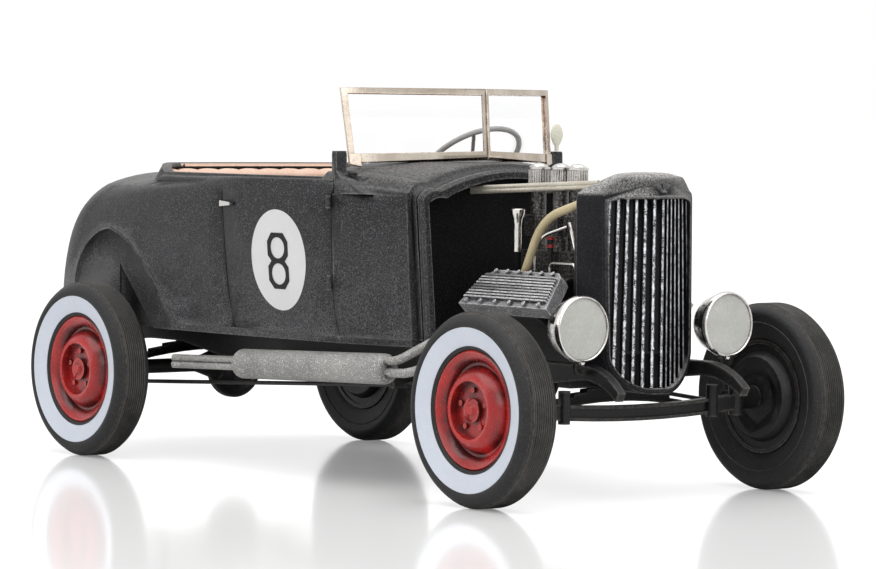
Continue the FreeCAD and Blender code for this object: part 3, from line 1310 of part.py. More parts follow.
# --------------------------------------------------------------------- exhaust
def exhaust():
    """Left side: twin tails, round-ended muffler and the pair of down pipes."""
    rear, front = V(MUFFLER_X0, PIPE_Y, PIPE_Z0), V(MUFFLER_X1, PIPE_Y, PIPE_Z1)
    along = (front - rear).normalize()
    can = rod(rear, front, MUFFLER_R)
    ends = [edge for edge in can.Edges if len(edge.Vertexes) == 1]
    pieces = [can.makeFillet(MUFFLER_ROUND, ends)]
    bores = []
    tip = rear - along * (MUFFLER_X0 - TAIL_TIP_X)
    for side in (-1, 1):
        shift = V(0, 0, side * TAIL_R * 0.9)
        pieces.append(rod(tip + shift, rear + along * MUFFLER_ROUND + shift, TAIL_R))
        bores.append(rod(tip + shift, tip + shift + along * TAIL_BORE_LEN, TAIL_BORE_R))
    for i, lift in enumerate(HEADER_LIFT):
        inside = front + V(-MUFFLER_ROUND, 0, lift)
        turn = front + V(HEADER_RUN[i], 0, lift)
        pieces.append(pipe([inside, turn, V(HEADER_X[i], HEADER_Y, HEADER_Z)], HEADER_R))
    return fused(pieces).cut(Part.makeCompound(bores))


# ----------------------------------------------------------------------- axles
def front_rod_ends():
    """Ends of the left front radius rod, at the beam and under the rail."""
    at_beam = V(WHEELBASE + BEAM_X - BEAM_T / 2 - RADIUS_R, HAIRPIN_AXLE_Y, BEAM_Z + BEAM_RISE)
    return at_beam, V(HAIRPIN_FRAME[0], HAIRPIN_FRAME[1], RAIL_LOW - 2 * ROD_LUG)


def tie_rod_end(side):
    """Tie rod's end, under the front radius rods."""
    at_beam, at_rail = front_rod_ends()
    x = WHEELBASE - TIE_BACK
    rod_z = at_beam.z + (at_rail.z - at_beam.z) * (at_beam.x - x) / (at_beam.x - at_rail.x)
    return V(x, side * BEAM_HALF, rod_z - RADIUS_R - TIE_GAP - TIE_R)


def beam_band(x, depth, half, inset):
    """Bowed strip of the front beam, drawn in by inset from its top and bottom."""
    rise = BEAM_RISE * (half / BEAM_HALF) ** 2
    low, high = BEAM_Z - BEAM_H / 2 + inset, BEAM_Z + BEAM_H / 2 - inset
    edges = [arc(V(x, -half, low + rise), V(x, 0, low), V(x, half, low + rise)),
             line(V(x, half, low + rise), V(x, half, high + rise)),
             arc(V(x, half, high + rise), V(x, 0, high), V(x, -half, high + rise)),
             line(V(x, -half, high + rise), V(x, -half, low + rise))]
    return Part.Face(Part.Wire(edges)).extrude(V(depth, 0, 0))


def axle_end(x, root_y, track, side, bearing_r):
    """Flange behind one wheel and the stub that carries it, out from root_y."""
    face = side * (track / 2 - DRUM_FACE)
    root, flange = V(x, root_y, TYRE_R), V(x, face - side * BACKING_GAP, TYRE_R)
    return [rod(root, flange, bearing_r), rod(root, V(x, face + side * STUB_LEN, TYRE_R), STUB_R)]


def front_axle():
    """Bowed I-beam with perches, kingpins, knuckles, stubs and steering arms."""
    x = WHEELBASE + BEAM_X
    rear_face, front_face = x - BEAM_T / 2, x + BEAM_T / 2
    pocket = (BEAM_T - BEAM_WEB) / 2
    beam = beam_band(rear_face, BEAM_T, BEAM_HALF, 0)
    for start in (rear_face, front_face - pocket):
        beam = beam.cut(beam_band(start, pocket, PERCH_Y, BEAM_FLANGE))
    pieces = [beam]
    for side in (-1, 1):
        pin = V(x, side * (BEAM_HALF + KINGPIN_OUT), TYRE_R)
        reach = V(0, 0, KINGPIN_H / 2)
        pieces.append(rod(pin - reach, pin + reach, KINGPIN_R))
        perch = V(x + PERCH_AHEAD, side * PERCH_Y, 0)
        pieces.append(rod(perch + V(0, 0, PERCH_FOOT), perch + V(0, 0, PERCH_TOP), PERCH_R))
        inner, outer = sorted((side * (BEAM_HALF - KINGPIN_OUT), pin.y))
        low, high = TYRE_R - KNUCKLE_HALF, TYRE_R + KNUCKLE_HALF
        pieces.append(box(WHEELBASE - KNUCKLE_HALF, x, inner, outer, low, high))
        pieces += axle_end(WHEELBASE, pin.y, FRONT_TRACK, side, BACKING_R)
        spindle = V(WHEELBASE, side * BEAM_HALF, TYRE_R)
        pieces.append(rod(spindle, tie_rod_end(side) + V(2 * TIE_R, 0, 0), TIE_R))
    return fused(pieces)


BANJO_NOSE = BANJO_T                 # reach of the pinion housing ahead of the axle


def rear_axle():
    """Round differential housing across the car, its trumpets, tubes and stubs."""
    z = TYRE_R - BANJO_DROP
    half = BANJO_T / 2
    pieces = [rod(V(-BANJO_RIM, 0, z), V(BANJO_RIM, 0, z), BANJO_R),
              cone(V(-BANJO_RIM, 0, z), V(-half, 0, z), BANJO_R * 0.88, BANJO_R * 0.50),
              cone(V(BANJO_RIM, 0, z), V(half, 0, z), BANJO_R * 0.88, BANJO_R * 0.50),
              rod(V(0, 0, TYRE_R), V(BANJO_NOSE, 0, TYRE_R), PINION_R)]
    for side in (-1, 1):
        trumpet = V(0, side * (BANJO_R * 0.7), TYRE_R)
        pieces.append(cone(trumpet, trumpet + V(0, side * TRUMPET_LEN, 0), BANJO_T * 0.48, AXLE_R))
        flange_y = side * (REAR_TRACK / 2 - DRUM_FACE - BACKING_GAP - BACKING_T)
        pieces.append(rod(V(0, 0, TYRE_R), V(0, flange_y, TYRE_R), AXLE_R))
        pieces += axle_end(0, flange_y, REAR_TRACK, side, BACKING_R)
    return fused(pieces)


def leaf_spring(x, z_top, half):
    """Transverse leaf spring: a bowed stack of leaves, longest at the bottom."""
    leaves = []
    for i in range(LEAF_COUNT):
        reach = half * (1 - LEAF_STEP * (LEAF_COUNT - 1 - i))
        z = z_top - LEAF_T * (i + 1)
        end = z - LEAF_SAG * reach * reach
        low = arc(V(x, -reach, end), V(x, 0, z), V(x, reach, end))
        high = arc(V(x, reach, end + LEAF_T), V(x, 0, z + LEAF_T), V(x, -reach, end + LEAF_T))
        ends = [line(V(x, reach, end), V(x, reach, end + LEAF_T)),
                line(V(x, -reach, end + LEAF_T), V(x, -reach, end))]
        leaves.append(Part.Face(Part.Wire([low, ends[0], high, ends[1]])).extrude(V(SPRING_W, 0, 0)))
    return fused(leaves)


def front_spring():
    return leaf_spring(FRONT_CROSS_X + SPRING_INSET, FRONT_CROSS_Z - SEAT_FIT, FRONT_SPRING_HALF)


def rear_spring():
    return leaf_spring(REAR_CROSS_X + SPRING_INSET, REAR_CROSS_Z - SEAT_FIT, REAR_SPRING_HALF)


def frame_lug(x, y, z):
    """Bracket under the left rail that holds a rod's end at (x, y, z)."""
    inner = min(rail_middle(x), y) - ROD_LUG
    outer = max(rail_middle(x), y) + ROD_LUG
    return box(x - ROD_LUG, x + ROD_LUG, inner, outer, z - ROD_LUG, RAIL_LOW - SEAT_FIT)


def radius_rods():
    """Four locating rods: one pair to the front beam, one to the rear axle."""
    at_beam, at_rail = front_rod_ends()
    rear_end = V(*RADIUS_FRAME)
    pieces = [rod(at_beam, at_rail, RADIUS_R), frame_lug(*at_rail),
              rod(V(*RADIUS_REAR), rear_end, RADIUS_R), frame_lug(*rear_end)]
    return both(fused(pieces))


def tie_rod():
    past = V(0, TIE_R, 0)
    return rod(tie_rod_end(-1) - past, tie_rod_end(1) + past, TIE_R)


# ---------------------------------------------------------------------- wheels
def tyre():
    """Round-shouldered tyre; the sidewall's flat band carries the white ring."""
    half = TYRE_W / 2
    side = [(TYRE_BORE + SEAT_FIT, BEAD_Y), (BAND_R, BAND_Y), (TYRE_BULGE_R, half),
            (TYRE_SHOULDER_R, SHOULDER_Y), (TYRE_R, TREAD_HALF)]
    return turned([(r, -y) for r, y in side] + side[::-1])


def rim():
    """Pressed wheel: rolled lip, gutter, bowed disc, sunk bolt face and hub cap."""
    bore = STUB_R + AXLE_FIT
    bore_end = STUB_LEN - DRUM_FACE + BORE_GAP
    crest_in = CREST_R - CREST_W
    points = [(bore, -DRUM_IN), (TYRE_BORE, -DRUM_IN),
              (TYRE_BORE, LIP_Y - LIP_ROUND), (TYRE_BORE - LIP_ROUND, LIP_Y),
              (LIP_IN_R, LIP_FOOT_Y), (WELL_R, WELL_EDGE_Y), (WELL_R - LIP_ROUND, WELL_Y), (DISC_R, WELL_Y),
              (DISC_R - (DISC_R - CREST_R) * 0.36, WELL_Y + (CREST_Y - WELL_Y) * 0.52),
              (DISC_R - (DISC_R - CREST_R) * 0.74, WELL_Y + (CREST_Y - WELL_Y) * 0.88),
              (CREST_R, CREST_Y), (crest_in, CREST_Y - LIP_ROUND / 2), (BOLT_FACE_R, BOLT_FACE_Y),
              (HUB_RING_R, BOLT_FACE_Y), (HUB_RING_R, HUB_RING_Y), (HUB_CAP_R, HUB_RING_Y),
              (HUB_CAP_R * 0.6, HUB_CAP_Y), (0, HUB_CAP_Y), (0, bore_end), (bore, bore_end)]
    pieces = [turned(points)]
    for i in range(LUG_COUNT):
        a = 2 * math.pi * i / LUG_COUNT
        spot = V(LUG_CIRCLE_R * math.sin(a), BOLT_FACE_Y, LUG_CIRCLE_R * math.cos(a))
        pieces.append(rod(spot - V(0, LUG_H, 0), spot + V(0, LUG_H, 0), LUG_R))
    return fused(pieces)


def drum():
    """Black brake drum and backing ring that close the wheel's inner side."""
    bore = STUB_R + AXLE_FIT
    front, back = -DRUM_IN - SEAT_FIT, -DRUM_FACE
    groove = back + DRUM_RIB
    ring = -DRUM_RING_Y
    points = [(bore, front), (TYRE_BORE, front), (TYRE_BORE, ring), (DRUM_RING_R, ring),
              (DRUM_RING_R, ring + DRUM_RIB / 2), (DRUM_R + DRUM_RIB, ring + DRUM_RIB / 2),
              (DRUM_R, groove), (DRUM_R - DRUM_RIB, back), (DRUM_RIB_R, back),
              (DRUM_RIB_R - DRUM_RIB, groove), (DRUM_BOSS_R + DRUM_RIB, groove), (DRUM_BOSS_R, back),
              (bore, back)]
    return turned(points)


def place_wheel(shape, x, track, side):
    """Outer face away from the car, centred on its axle."""
    put = shape.copy() if side > 0 else mirrored(shape)
    put.translate(V(x, side * track / 2, TYRE_R))
    return put


# ------------------------------------------------------------------ small parts
def door_handles():
    """Tapered levers, seated on the body sides."""
    y = BODY_LEVELS[-1][3] + SEAT_FIT
    x0, x1 = LATCH_X + HANDLE_X, LATCH_X + HANDLE_X + HANDLE_LEN
    thick, thin = HANDLE_H / 2, HANDLE_H / 4
    return both(prism([V(x0, y, HANDLE_Z - thick), V(x1, y, HANDLE_Z - thin), V(x1, y, HANDLE_Z + thin),
                       V(x0, y, HANDLE_Z + thick)], V(0, HANDLE_PROUD, 0)))


def door_hinges():
    """Upper and lower hinge barrel at each door's front edge."""
    barrels = []
    for low, high in HINGE_SPANS:
        y = max(level_at(low)[2], level_at(high)[2]) + HINGE_R + HINGE_GAP
        barrels.append(rod(V(HINGE_X, y, low), V(HINGE_X, y, high), HINGE_R))
    return both(Part.makeCompound(barrels))


def hood_rods():
    """Two pairs of thin rods from the fire wall to the radiator shell."""
    rods = []
    for shift in (0, HOOD_ROD_STEP):
        start = V(WALL_X - FLANGE_ROOT + SEAT_FIT, HOOD_ROD_REAR[0], HOOD_ROD_REAR[1] + shift)
        end = V(SHELL_BACK - SEAT_FIT, HOOD_ROD_FRONT[0], HOOD_ROD_FRONT[1] + shift)
        rods.append(rod(start, end, HOOD_ROD_R))
    return both(Part.makeCompound(rods))


def build():
    export("body_shell", body_shell())
    export("firewall", firewall())
    export("floor_pan", floor_pan())
    export("seat_cushion", seat_cushion())
    export("seat_back", seat_back())
    export("door_trims", door_trims())
    export("dashboard", dashboard())
    export("rail_left", rail())
    export("rail_right", mirrored(rail()))
    export("crossmembers", crossmembers())
    export("gearbox", gearbox())
    export("driveshaft", driveshaft())
    export("engine_block", engine_block())
    export("cylinder_head_left", cylinder_head())
    export("cylinder_head_right", mirrored(cylinder_head()))
    export("intake_manifold", intake())
    export("air_filters", air_filters())
    export("oil_breather", breather())
    export("coolant_hoses", hoses())
    export("distributor", distributor())
    export("engine_pipes", engine_pipes())
    export("fan", fan())
    export("grille_shell", grille_shell())
    export("grille_insert", grille_insert())
    export("radiator", radiator())
    export("headlamp_left", headlamp())
    export("headlamp_right", mirrored(headlamp()))
    export("headlamp_lenses", both(headlamp_lens()))
    export("lamp_brackets", lamp_bar())
    export("windscreen_frame", windscreen_frame())
    export("windscreen_panes", windscreen_panes())
    export("mirror", mirror())
    export("steering_wheel", steering_wheel())
    export("steering_column", column(COLUMN_R))
    export("exhaust_left", exhaust())
    export("exhaust_right", mirrored(exhaust()))
    export("front_axle", front_axle())
    export("rear_axle", rear_axle())
    export("front_spring", front_spring())
    export("rear_spring", rear_spring())
    export("radius_rods", radius_rods())
    export("tie_rod", tie_rod())
    export("door_handles", door_handles())
    export("door_hinges", door_hinges())
    export("hood_rods", hood_rods())
    for end, x, track in (("front", WHEELBASE, FRONT_TRACK), ("rear", 0.0, REAR_TRACK)):
        for name, side in (("left", 1), ("right", -1)):
            export(f"tyre_{end}_{name}", place_wheel(tyre(), x, track, side))
            export(f"rim_{end}_{name}", place_wheel(rim(), x, track, side))
            export(f"drum_{end}_{name}", place_wheel(drum(), x, track, side))


if __name__ == "__main__":
    os.makedirs("parts", exist_ok=True)
    build()
    for name, shape in NODES.items():
        if not shape.isValid():
            print("not valid:", name)
    print(len(NODES), "nodes")
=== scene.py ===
import json
import math

import bmesh
import bpy
from mathutils import Matrix, Vector
from mathutils.bvhtree import BVHTree


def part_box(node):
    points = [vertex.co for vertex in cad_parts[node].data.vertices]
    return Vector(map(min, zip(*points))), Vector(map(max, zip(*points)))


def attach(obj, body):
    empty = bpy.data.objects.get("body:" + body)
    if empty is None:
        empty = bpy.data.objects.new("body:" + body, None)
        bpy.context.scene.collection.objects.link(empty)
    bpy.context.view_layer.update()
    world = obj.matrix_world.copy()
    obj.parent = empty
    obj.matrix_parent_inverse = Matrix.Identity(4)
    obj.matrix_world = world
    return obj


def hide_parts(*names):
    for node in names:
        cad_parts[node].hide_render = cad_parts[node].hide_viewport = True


# Looks of a small-scale hot rod model: charcoal body with a fine spray grain, red
# wheels with white sidewalls, an open engine, an etched windscreen and tan seats.
# Sizes are in mm and times MM where Blender takes them. Profiles are (radius, place
# along the axis) points.

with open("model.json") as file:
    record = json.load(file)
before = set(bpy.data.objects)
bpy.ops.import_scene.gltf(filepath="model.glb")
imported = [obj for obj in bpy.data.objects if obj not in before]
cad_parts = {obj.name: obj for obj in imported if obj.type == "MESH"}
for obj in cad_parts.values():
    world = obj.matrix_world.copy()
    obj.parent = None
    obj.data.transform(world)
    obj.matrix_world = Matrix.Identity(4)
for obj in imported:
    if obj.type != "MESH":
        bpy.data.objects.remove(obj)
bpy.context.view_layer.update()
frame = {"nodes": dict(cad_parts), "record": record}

MM = 0.001
CAD_WELD = 0.0005                # corners of a CAD mesh this close are one
PIECE_WELD = 0.0002
FLAT_ENOUGH = 0.5                # degrees between faces that become one
TURN_STEPS = 112                 # of a wheel-sized turned piece
# Degrees past which the edge between two faces stays sharp.
PIECE_SHARP, SKIN_SHARP, RIM_SHARP, BAR_SHARP = 35.0, 32.0, 28.0, 25.0
TURNED_SHARP, TRUMPET_SHARP, CLIP_SHARP, SHELL_SHARP = 50.0, 45.0, 60.0, 62.0
SLOT = {part["node"]: part["material_slot"] for part in frame["record"]["subparts"]}
BODY_OF = {node: body for body, nodes in frame["record"]["behaviour"]["bodies"].items()
           for node in nodes}


# ------------------------------------------------------------------ places, ramps
def box(node):
    """Low and high corner of a node's box, in mm."""
    low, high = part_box(node)
    return low / MM, high / MM


def middle(node):
    """Middle of a node's box, in mm."""
    low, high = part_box(node)
    return (low + high) / 2 / MM


def ramp(value, low, high):
    """Straight step from 0 at low to 1 at high."""
    return min(1.0, max(0.0, (value - low) / (high - low)))


def smooth(value, low, high):
    """Soft step from 0 at low to 1 at high."""
    share = ramp(value, low, high)
    return share * share * (3 - 2 * share)


def hump(value, start, full, easing, end):
    """Soft step up from start to full, and down again from easing to end."""
    return smooth(value, start, full) * (1 - smooth(value, easing, end))


def plug(links, socket, value):
    """Link a socket to another, or write a plain value or colour into it."""
    if isinstance(value, bpy.types.NodeSocket):
        links.new(value, socket)
    elif isinstance(value, (tuple, list)) and len(value) == 3 and len(socket.default_value) == 4:
        socket.default_value = (*value, 1.0)
    elif value is not None:
        socket.default_value = value


# ----------------------------------------------------------------- shader node kit
class Shading:
    """Shader node tree with the usual nodes at hand."""

    def __init__(self, tree):
        self.tree, self.nodes, self.links = tree, tree.nodes, tree.links

    def math(self, operation, a, b=None, clamp=False):
        node = self.nodes.new("ShaderNodeMath")
        node.operation = operation
        node.use_clamp = clamp
        plug(self.links, node.inputs[0], a)
        plug(self.links, node.inputs[1], b)
        return node.outputs[0]

    def times(self, a, b, clamp=False):
        return self.math("MULTIPLY", a, b, clamp)

    def remap(self, value, low, high, to_low=0.0, to_high=1.0):
        node = self.nodes.new("ShaderNodeMapRange")
        labels = ("Value", "From Min", "From Max", "To Min", "To Max")
        for label, number in zip(labels, (value, low, high, to_low, to_high)):
            plug(self.links, node.inputs[label], number)
        return node.outputs["Result"]

    def split(self, vector):
        node = self.nodes.new("ShaderNodeSeparateXYZ")
        self.links.new(vector, node.inputs[0])
        return node.outputs


class Group(Shading):
    """Shader node group with named float inputs; it puts out masks and heights."""

    def __init__(self, name, **inputs):
        super().__init__(bpy.data.node_groups.new(name, "ShaderNodeTree"))
        for label, value in inputs.items():
            self.socket(label.replace("_", " "), "INPUT").default_value = value
        self.given = self.nodes.new("NodeGroupInput").outputs
        self.place = self.nodes.new("ShaderNodeTexCoord").outputs["Object"]

    def socket(self, label, way):
        return self.tree.interface.new_socket(label, in_out=way, socket_type="NodeSocketFloat")

    def noise(self, scale, detail=2.0, roughness=0.5):
        node = self.nodes.new("ShaderNodeTexNoise")
        node.inputs["Detail"].default_value = detail
        node.inputs["Roughness"].default_value = roughness
        plug(self.links, node.inputs["Scale"], scale)
        self.links.new(self.place, node.inputs["Vector"])
        return node.outputs["Fac"]

    def put_out(self, **outputs):
        for label in outputs:
            self.socket(label, "OUTPUT")
        end = self.nodes.new("NodeGroupOutput")
        for label, value in outputs.items():
            self.links.new(value, end.inputs[label])
        return self.tree


class Finish(Shading):
    """One material and its shader."""

    def __init__(self, name, roughness=0.5, metallic=0.0, **plain):
        self.material = bpy.data.materials.new(name)
        self.material.use_nodes = True
        super().__init__(self.material.node_tree)
        self.shader = self.nodes["Principled BSDF"]
        self.set(Roughness=roughness, Metallic=metallic, **plain)

    def set(self, **values):
        for label, value in values.items():
            plug(self.links, self.shader.inputs[label.replace("_", " ")], value)

    def group(self, tree, **values):
        node = self.nodes.new("ShaderNodeGroup")
        node.node_tree = tree
        for label, value in values.items():
            plug(self.links, node.inputs[label.replace("_", " ")], value)
        return node.outputs

    def mix(self, factor, a, b):
        node = self.nodes.new("ShaderNodeMix")
        node.data_type = "RGBA"
        for index, value in ((0, factor), (6, a), (7, b)):
            plug(self.links, node.inputs[index], value)
        return node.outputs[2]

    def bump(self, height, distance):
        node = self.nodes.new("ShaderNodeBump")
        node.inputs["Distance"].default_value = distance * MM
        self.links.new(height, node.inputs["Height"])
        self.links.new(node.outputs[0], self.shader.inputs["Normal"])


# ------------------------------------------------------------------ shared effects
def spray_grain_group():
    """Speckle of sprayed paint: sharp flecks, soft clouds and a height."""
    group = Group("spray grain", Grain_per_metre=9000.0, Cloud_per_metre=500.0)
    fine = group.noise(group.given["Grain per metre"], 2.0, 0.7)
    cloud = group.noise(group.given["Cloud per metre"], 4.0, 0.65)
    return group.put_out(Flecks=group.remap(fine, 0.52, 0.72),
                         Clouds=group.remap(cloud, 0.35, 0.68), Height=fine)


def corner_group(name, inside):
    """Mask of outer edges (inside), for rubbed wear, or of recesses, for painted shade, broken up
    by noise.
    """
    group = Group(name, Reach=0.12 * MM, Break_per_metre=5000.0, Strength=2.0)
    around = group.nodes.new("ShaderNodeAmbientOcclusion")
    around.inside = inside
    around.only_local = inside
    around.samples = 6
    group.links.new(group.given["Reach"], around.inputs["Distance"])
    near = group.math("SUBTRACT", 1.0, around.outputs["AO"])
    strong = group.times(near, group.given["Strength"])
    broken = group.noise(group.given["Break per metre"], 2.0, 0.6)
    return group.put_out(Mask=group.times(strong, group.remap(broken, 0.30, 0.62), clamp=True))


def settled_dust_and_sheen_group():
    """Mask of surfaces that look upwards: pale settled dust, and a painted sheen where light from
    above falls.
    """
    group = Group("settled dust", Least=0.35, Break_per_metre=3000.0)
    normal = group.split(group.nodes.new("ShaderNodeNewGeometry").outputs["Normal"])
    level = group.remap(normal["Z"], group.given["Least"], 1.0)
    broken = group.noise(group.given["Break per metre"], 4.0, 0.7)
    return group.put_out(Mask=group.times(level, group.remap(broken, 0.38, 0.60)))


FULL_DUST_HEIGHT = 4.5 * MM      # road dust is thickest up to here
ARCH_DUST_R = (6.5 * MM, 5.0 * MM)
ARCH_DUST_AHEAD = (0.6 * MM, -2.0 * MM)
ARCH_DUST = 1.8                  # strength behind the axle
ARCH_FILM = 0.50                 # even part of it


def road_dust_group():
    """Mask of pale road dust: low on the sides, and behind the axle in the wheel arch."""
    group = Group("road dust", Clear_height=12.5 * MM, Grain_per_metre=15000.0)
    place = group.split(group.place)
    low = group.remap(place["Z"], group.given["Clear height"], FULL_DUST_HEIGHT)
    hub = middle("tyre_rear_right") * MM
    across = group.math("SUBTRACT", place["X"], hub.x)
    along = group.math("SUBTRACT", place["Z"], hub.z)
    square = group.math("ADD", group.times(across, across), group.times(along, along))
    arch = group.times(group.remap(group.math("SQRT", square), *ARCH_DUST_R),
                       group.remap(across, *ARCH_DUST_AHEAD, 0.0, ARCH_DUST))
    fine = group.noise(group.given["Grain per metre"], 1.0, 0.5)
    patch = group.noise(900.0, 3.0, 0.6)
    broken = group.times(group.remap(fine, 0.44, 0.66), group.remap(patch, 0.30, 0.62, 0.4, 1.0))
    mask = group.times(group.math("ADD", low, arch), broken)
    return group.put_out(Mask=group.math("ADD", mask, group.times(arch, ARCH_FILM), clamp=True))


SPRAY = spray_grain_group()
EDGES = corner_group("rubbed edges", True)
# Painted shade: mask of recesses and joints, darkened by occlusion.
PAINTED_RECESS_SHADE = corner_group("shaded recesses", False)
# Settled dust and painted highlight: upward faces made paler.
DUST_AND_TOP_SHEEN = settled_dust_and_sheen_group()
ROAD = road_dust_group()


# ----------------------------------------------------------------------- materials
def painted(name, base, cloud, fleck, fleck_share=0.5, grain=9000.0, roughness=0.6, swing=0.1,
            metallic=0.0, bump=0.02, edge=None, edge_reach=0.12, recess_shade=None, recess_shade_reach=0.5,
            recess_shade_break=5000.0, recess_shade_depth=2.0, dust=None, dust_least=0.35,
            dust_and_sheen_break=3000.0, road=None, **plain):
    """Sprayed paint: clouds, flecks, road dust, settled dust with a painted sheen on upward faces,
    rubbed edges and painted shade in recesses.
    """
    finish = Finish(name, roughness, metallic, **plain)
    spray = finish.group(SPRAY, Grain_per_metre=grain)
    colour = finish.mix(spray["Clouds"], base, cloud)
    colour = finish.mix(finish.times(spray["Flecks"], fleck_share), colour, fleck)
    # Settled dust and painted sheen: the dust colour lightens upward faces, partly as dust and
    # partly as painted light from above.
    if dust:
        dust_and_sheen = finish.group(DUST_AND_TOP_SHEEN, Least=dust_least, Break_per_metre=dust_and_sheen_break)
        colour = finish.mix(dust_and_sheen["Mask"], colour, dust)
    if road:
        colour = finish.mix(finish.group(ROAD)["Mask"], colour, road)
    if edge:
        colour = finish.mix(finish.group(EDGES, Reach=edge_reach * MM)["Mask"], colour, edge)
    # Painted shade: the recess colour darkens hollows, creases and joints.
    if recess_shade:
        shaded = finish.group(PAINTED_RECESS_SHADE, Reach=recess_shade_reach * MM, Break_per_metre=recess_shade_break,
                              Strength=recess_shade_depth)
        colour = finish.mix(shaded["Mask"], colour, recess_shade)
    gloss = finish.remap(spray["Height"], 0.3, 0.7, roughness - swing, roughness + swing)
    finish.set(Base_Color=colour, Roughness=gloss)
    finish.bump(spray["Height"], bump)
    return finish.material


def clear_film():
    """Clear film pane with a faint haze."""
    finish = Finish("clear film pane", 0.04, Transmission_Weight=1.0, IOR=1.02)
    spray = finish.group(SPRAY, Grain_per_metre=3000.0)
    finish.set(Base_Color=finish.mix(spray["Clouds"], (0.97, 0.98, 0.98), (0.93, 0.95, 0.95)))
    finish.set(Alpha=finish.remap(spray["Clouds"], 0.0, 1.0, 0.10, 0.18))
    return finish.material


def brushed_silver():
    """Silver brushed thinly over black, broken into dots and rubbed off at its edges."""
    finish = Finish("silver brushed on the bars", 0.36)
    spray = finish.group(SPRAY, Grain_per_metre=19000.0, Cloud_per_metre=3500.0)
    cover = finish.math("ADD", spray["Flecks"], finish.times(spray["Clouds"], 0.55))
    bare = finish.group(EDGES, Reach=0.045 * MM, Break_per_metre=9000.0, Strength=2.6)["Mask"]
    cover = finish.remap(finish.math("SUBTRACT", cover, bare), 0.14, 0.42)
    finish.set(Base_Color=finish.mix(cover, (0.012, 0.012, 0.014), (0.80, 0.81, 0.85)),
               Metallic=finish.remap(cover, 0.0, 1.0, 0.0, 0.55))
    finish.bump(spray["Height"], 0.03)
    return finish.material


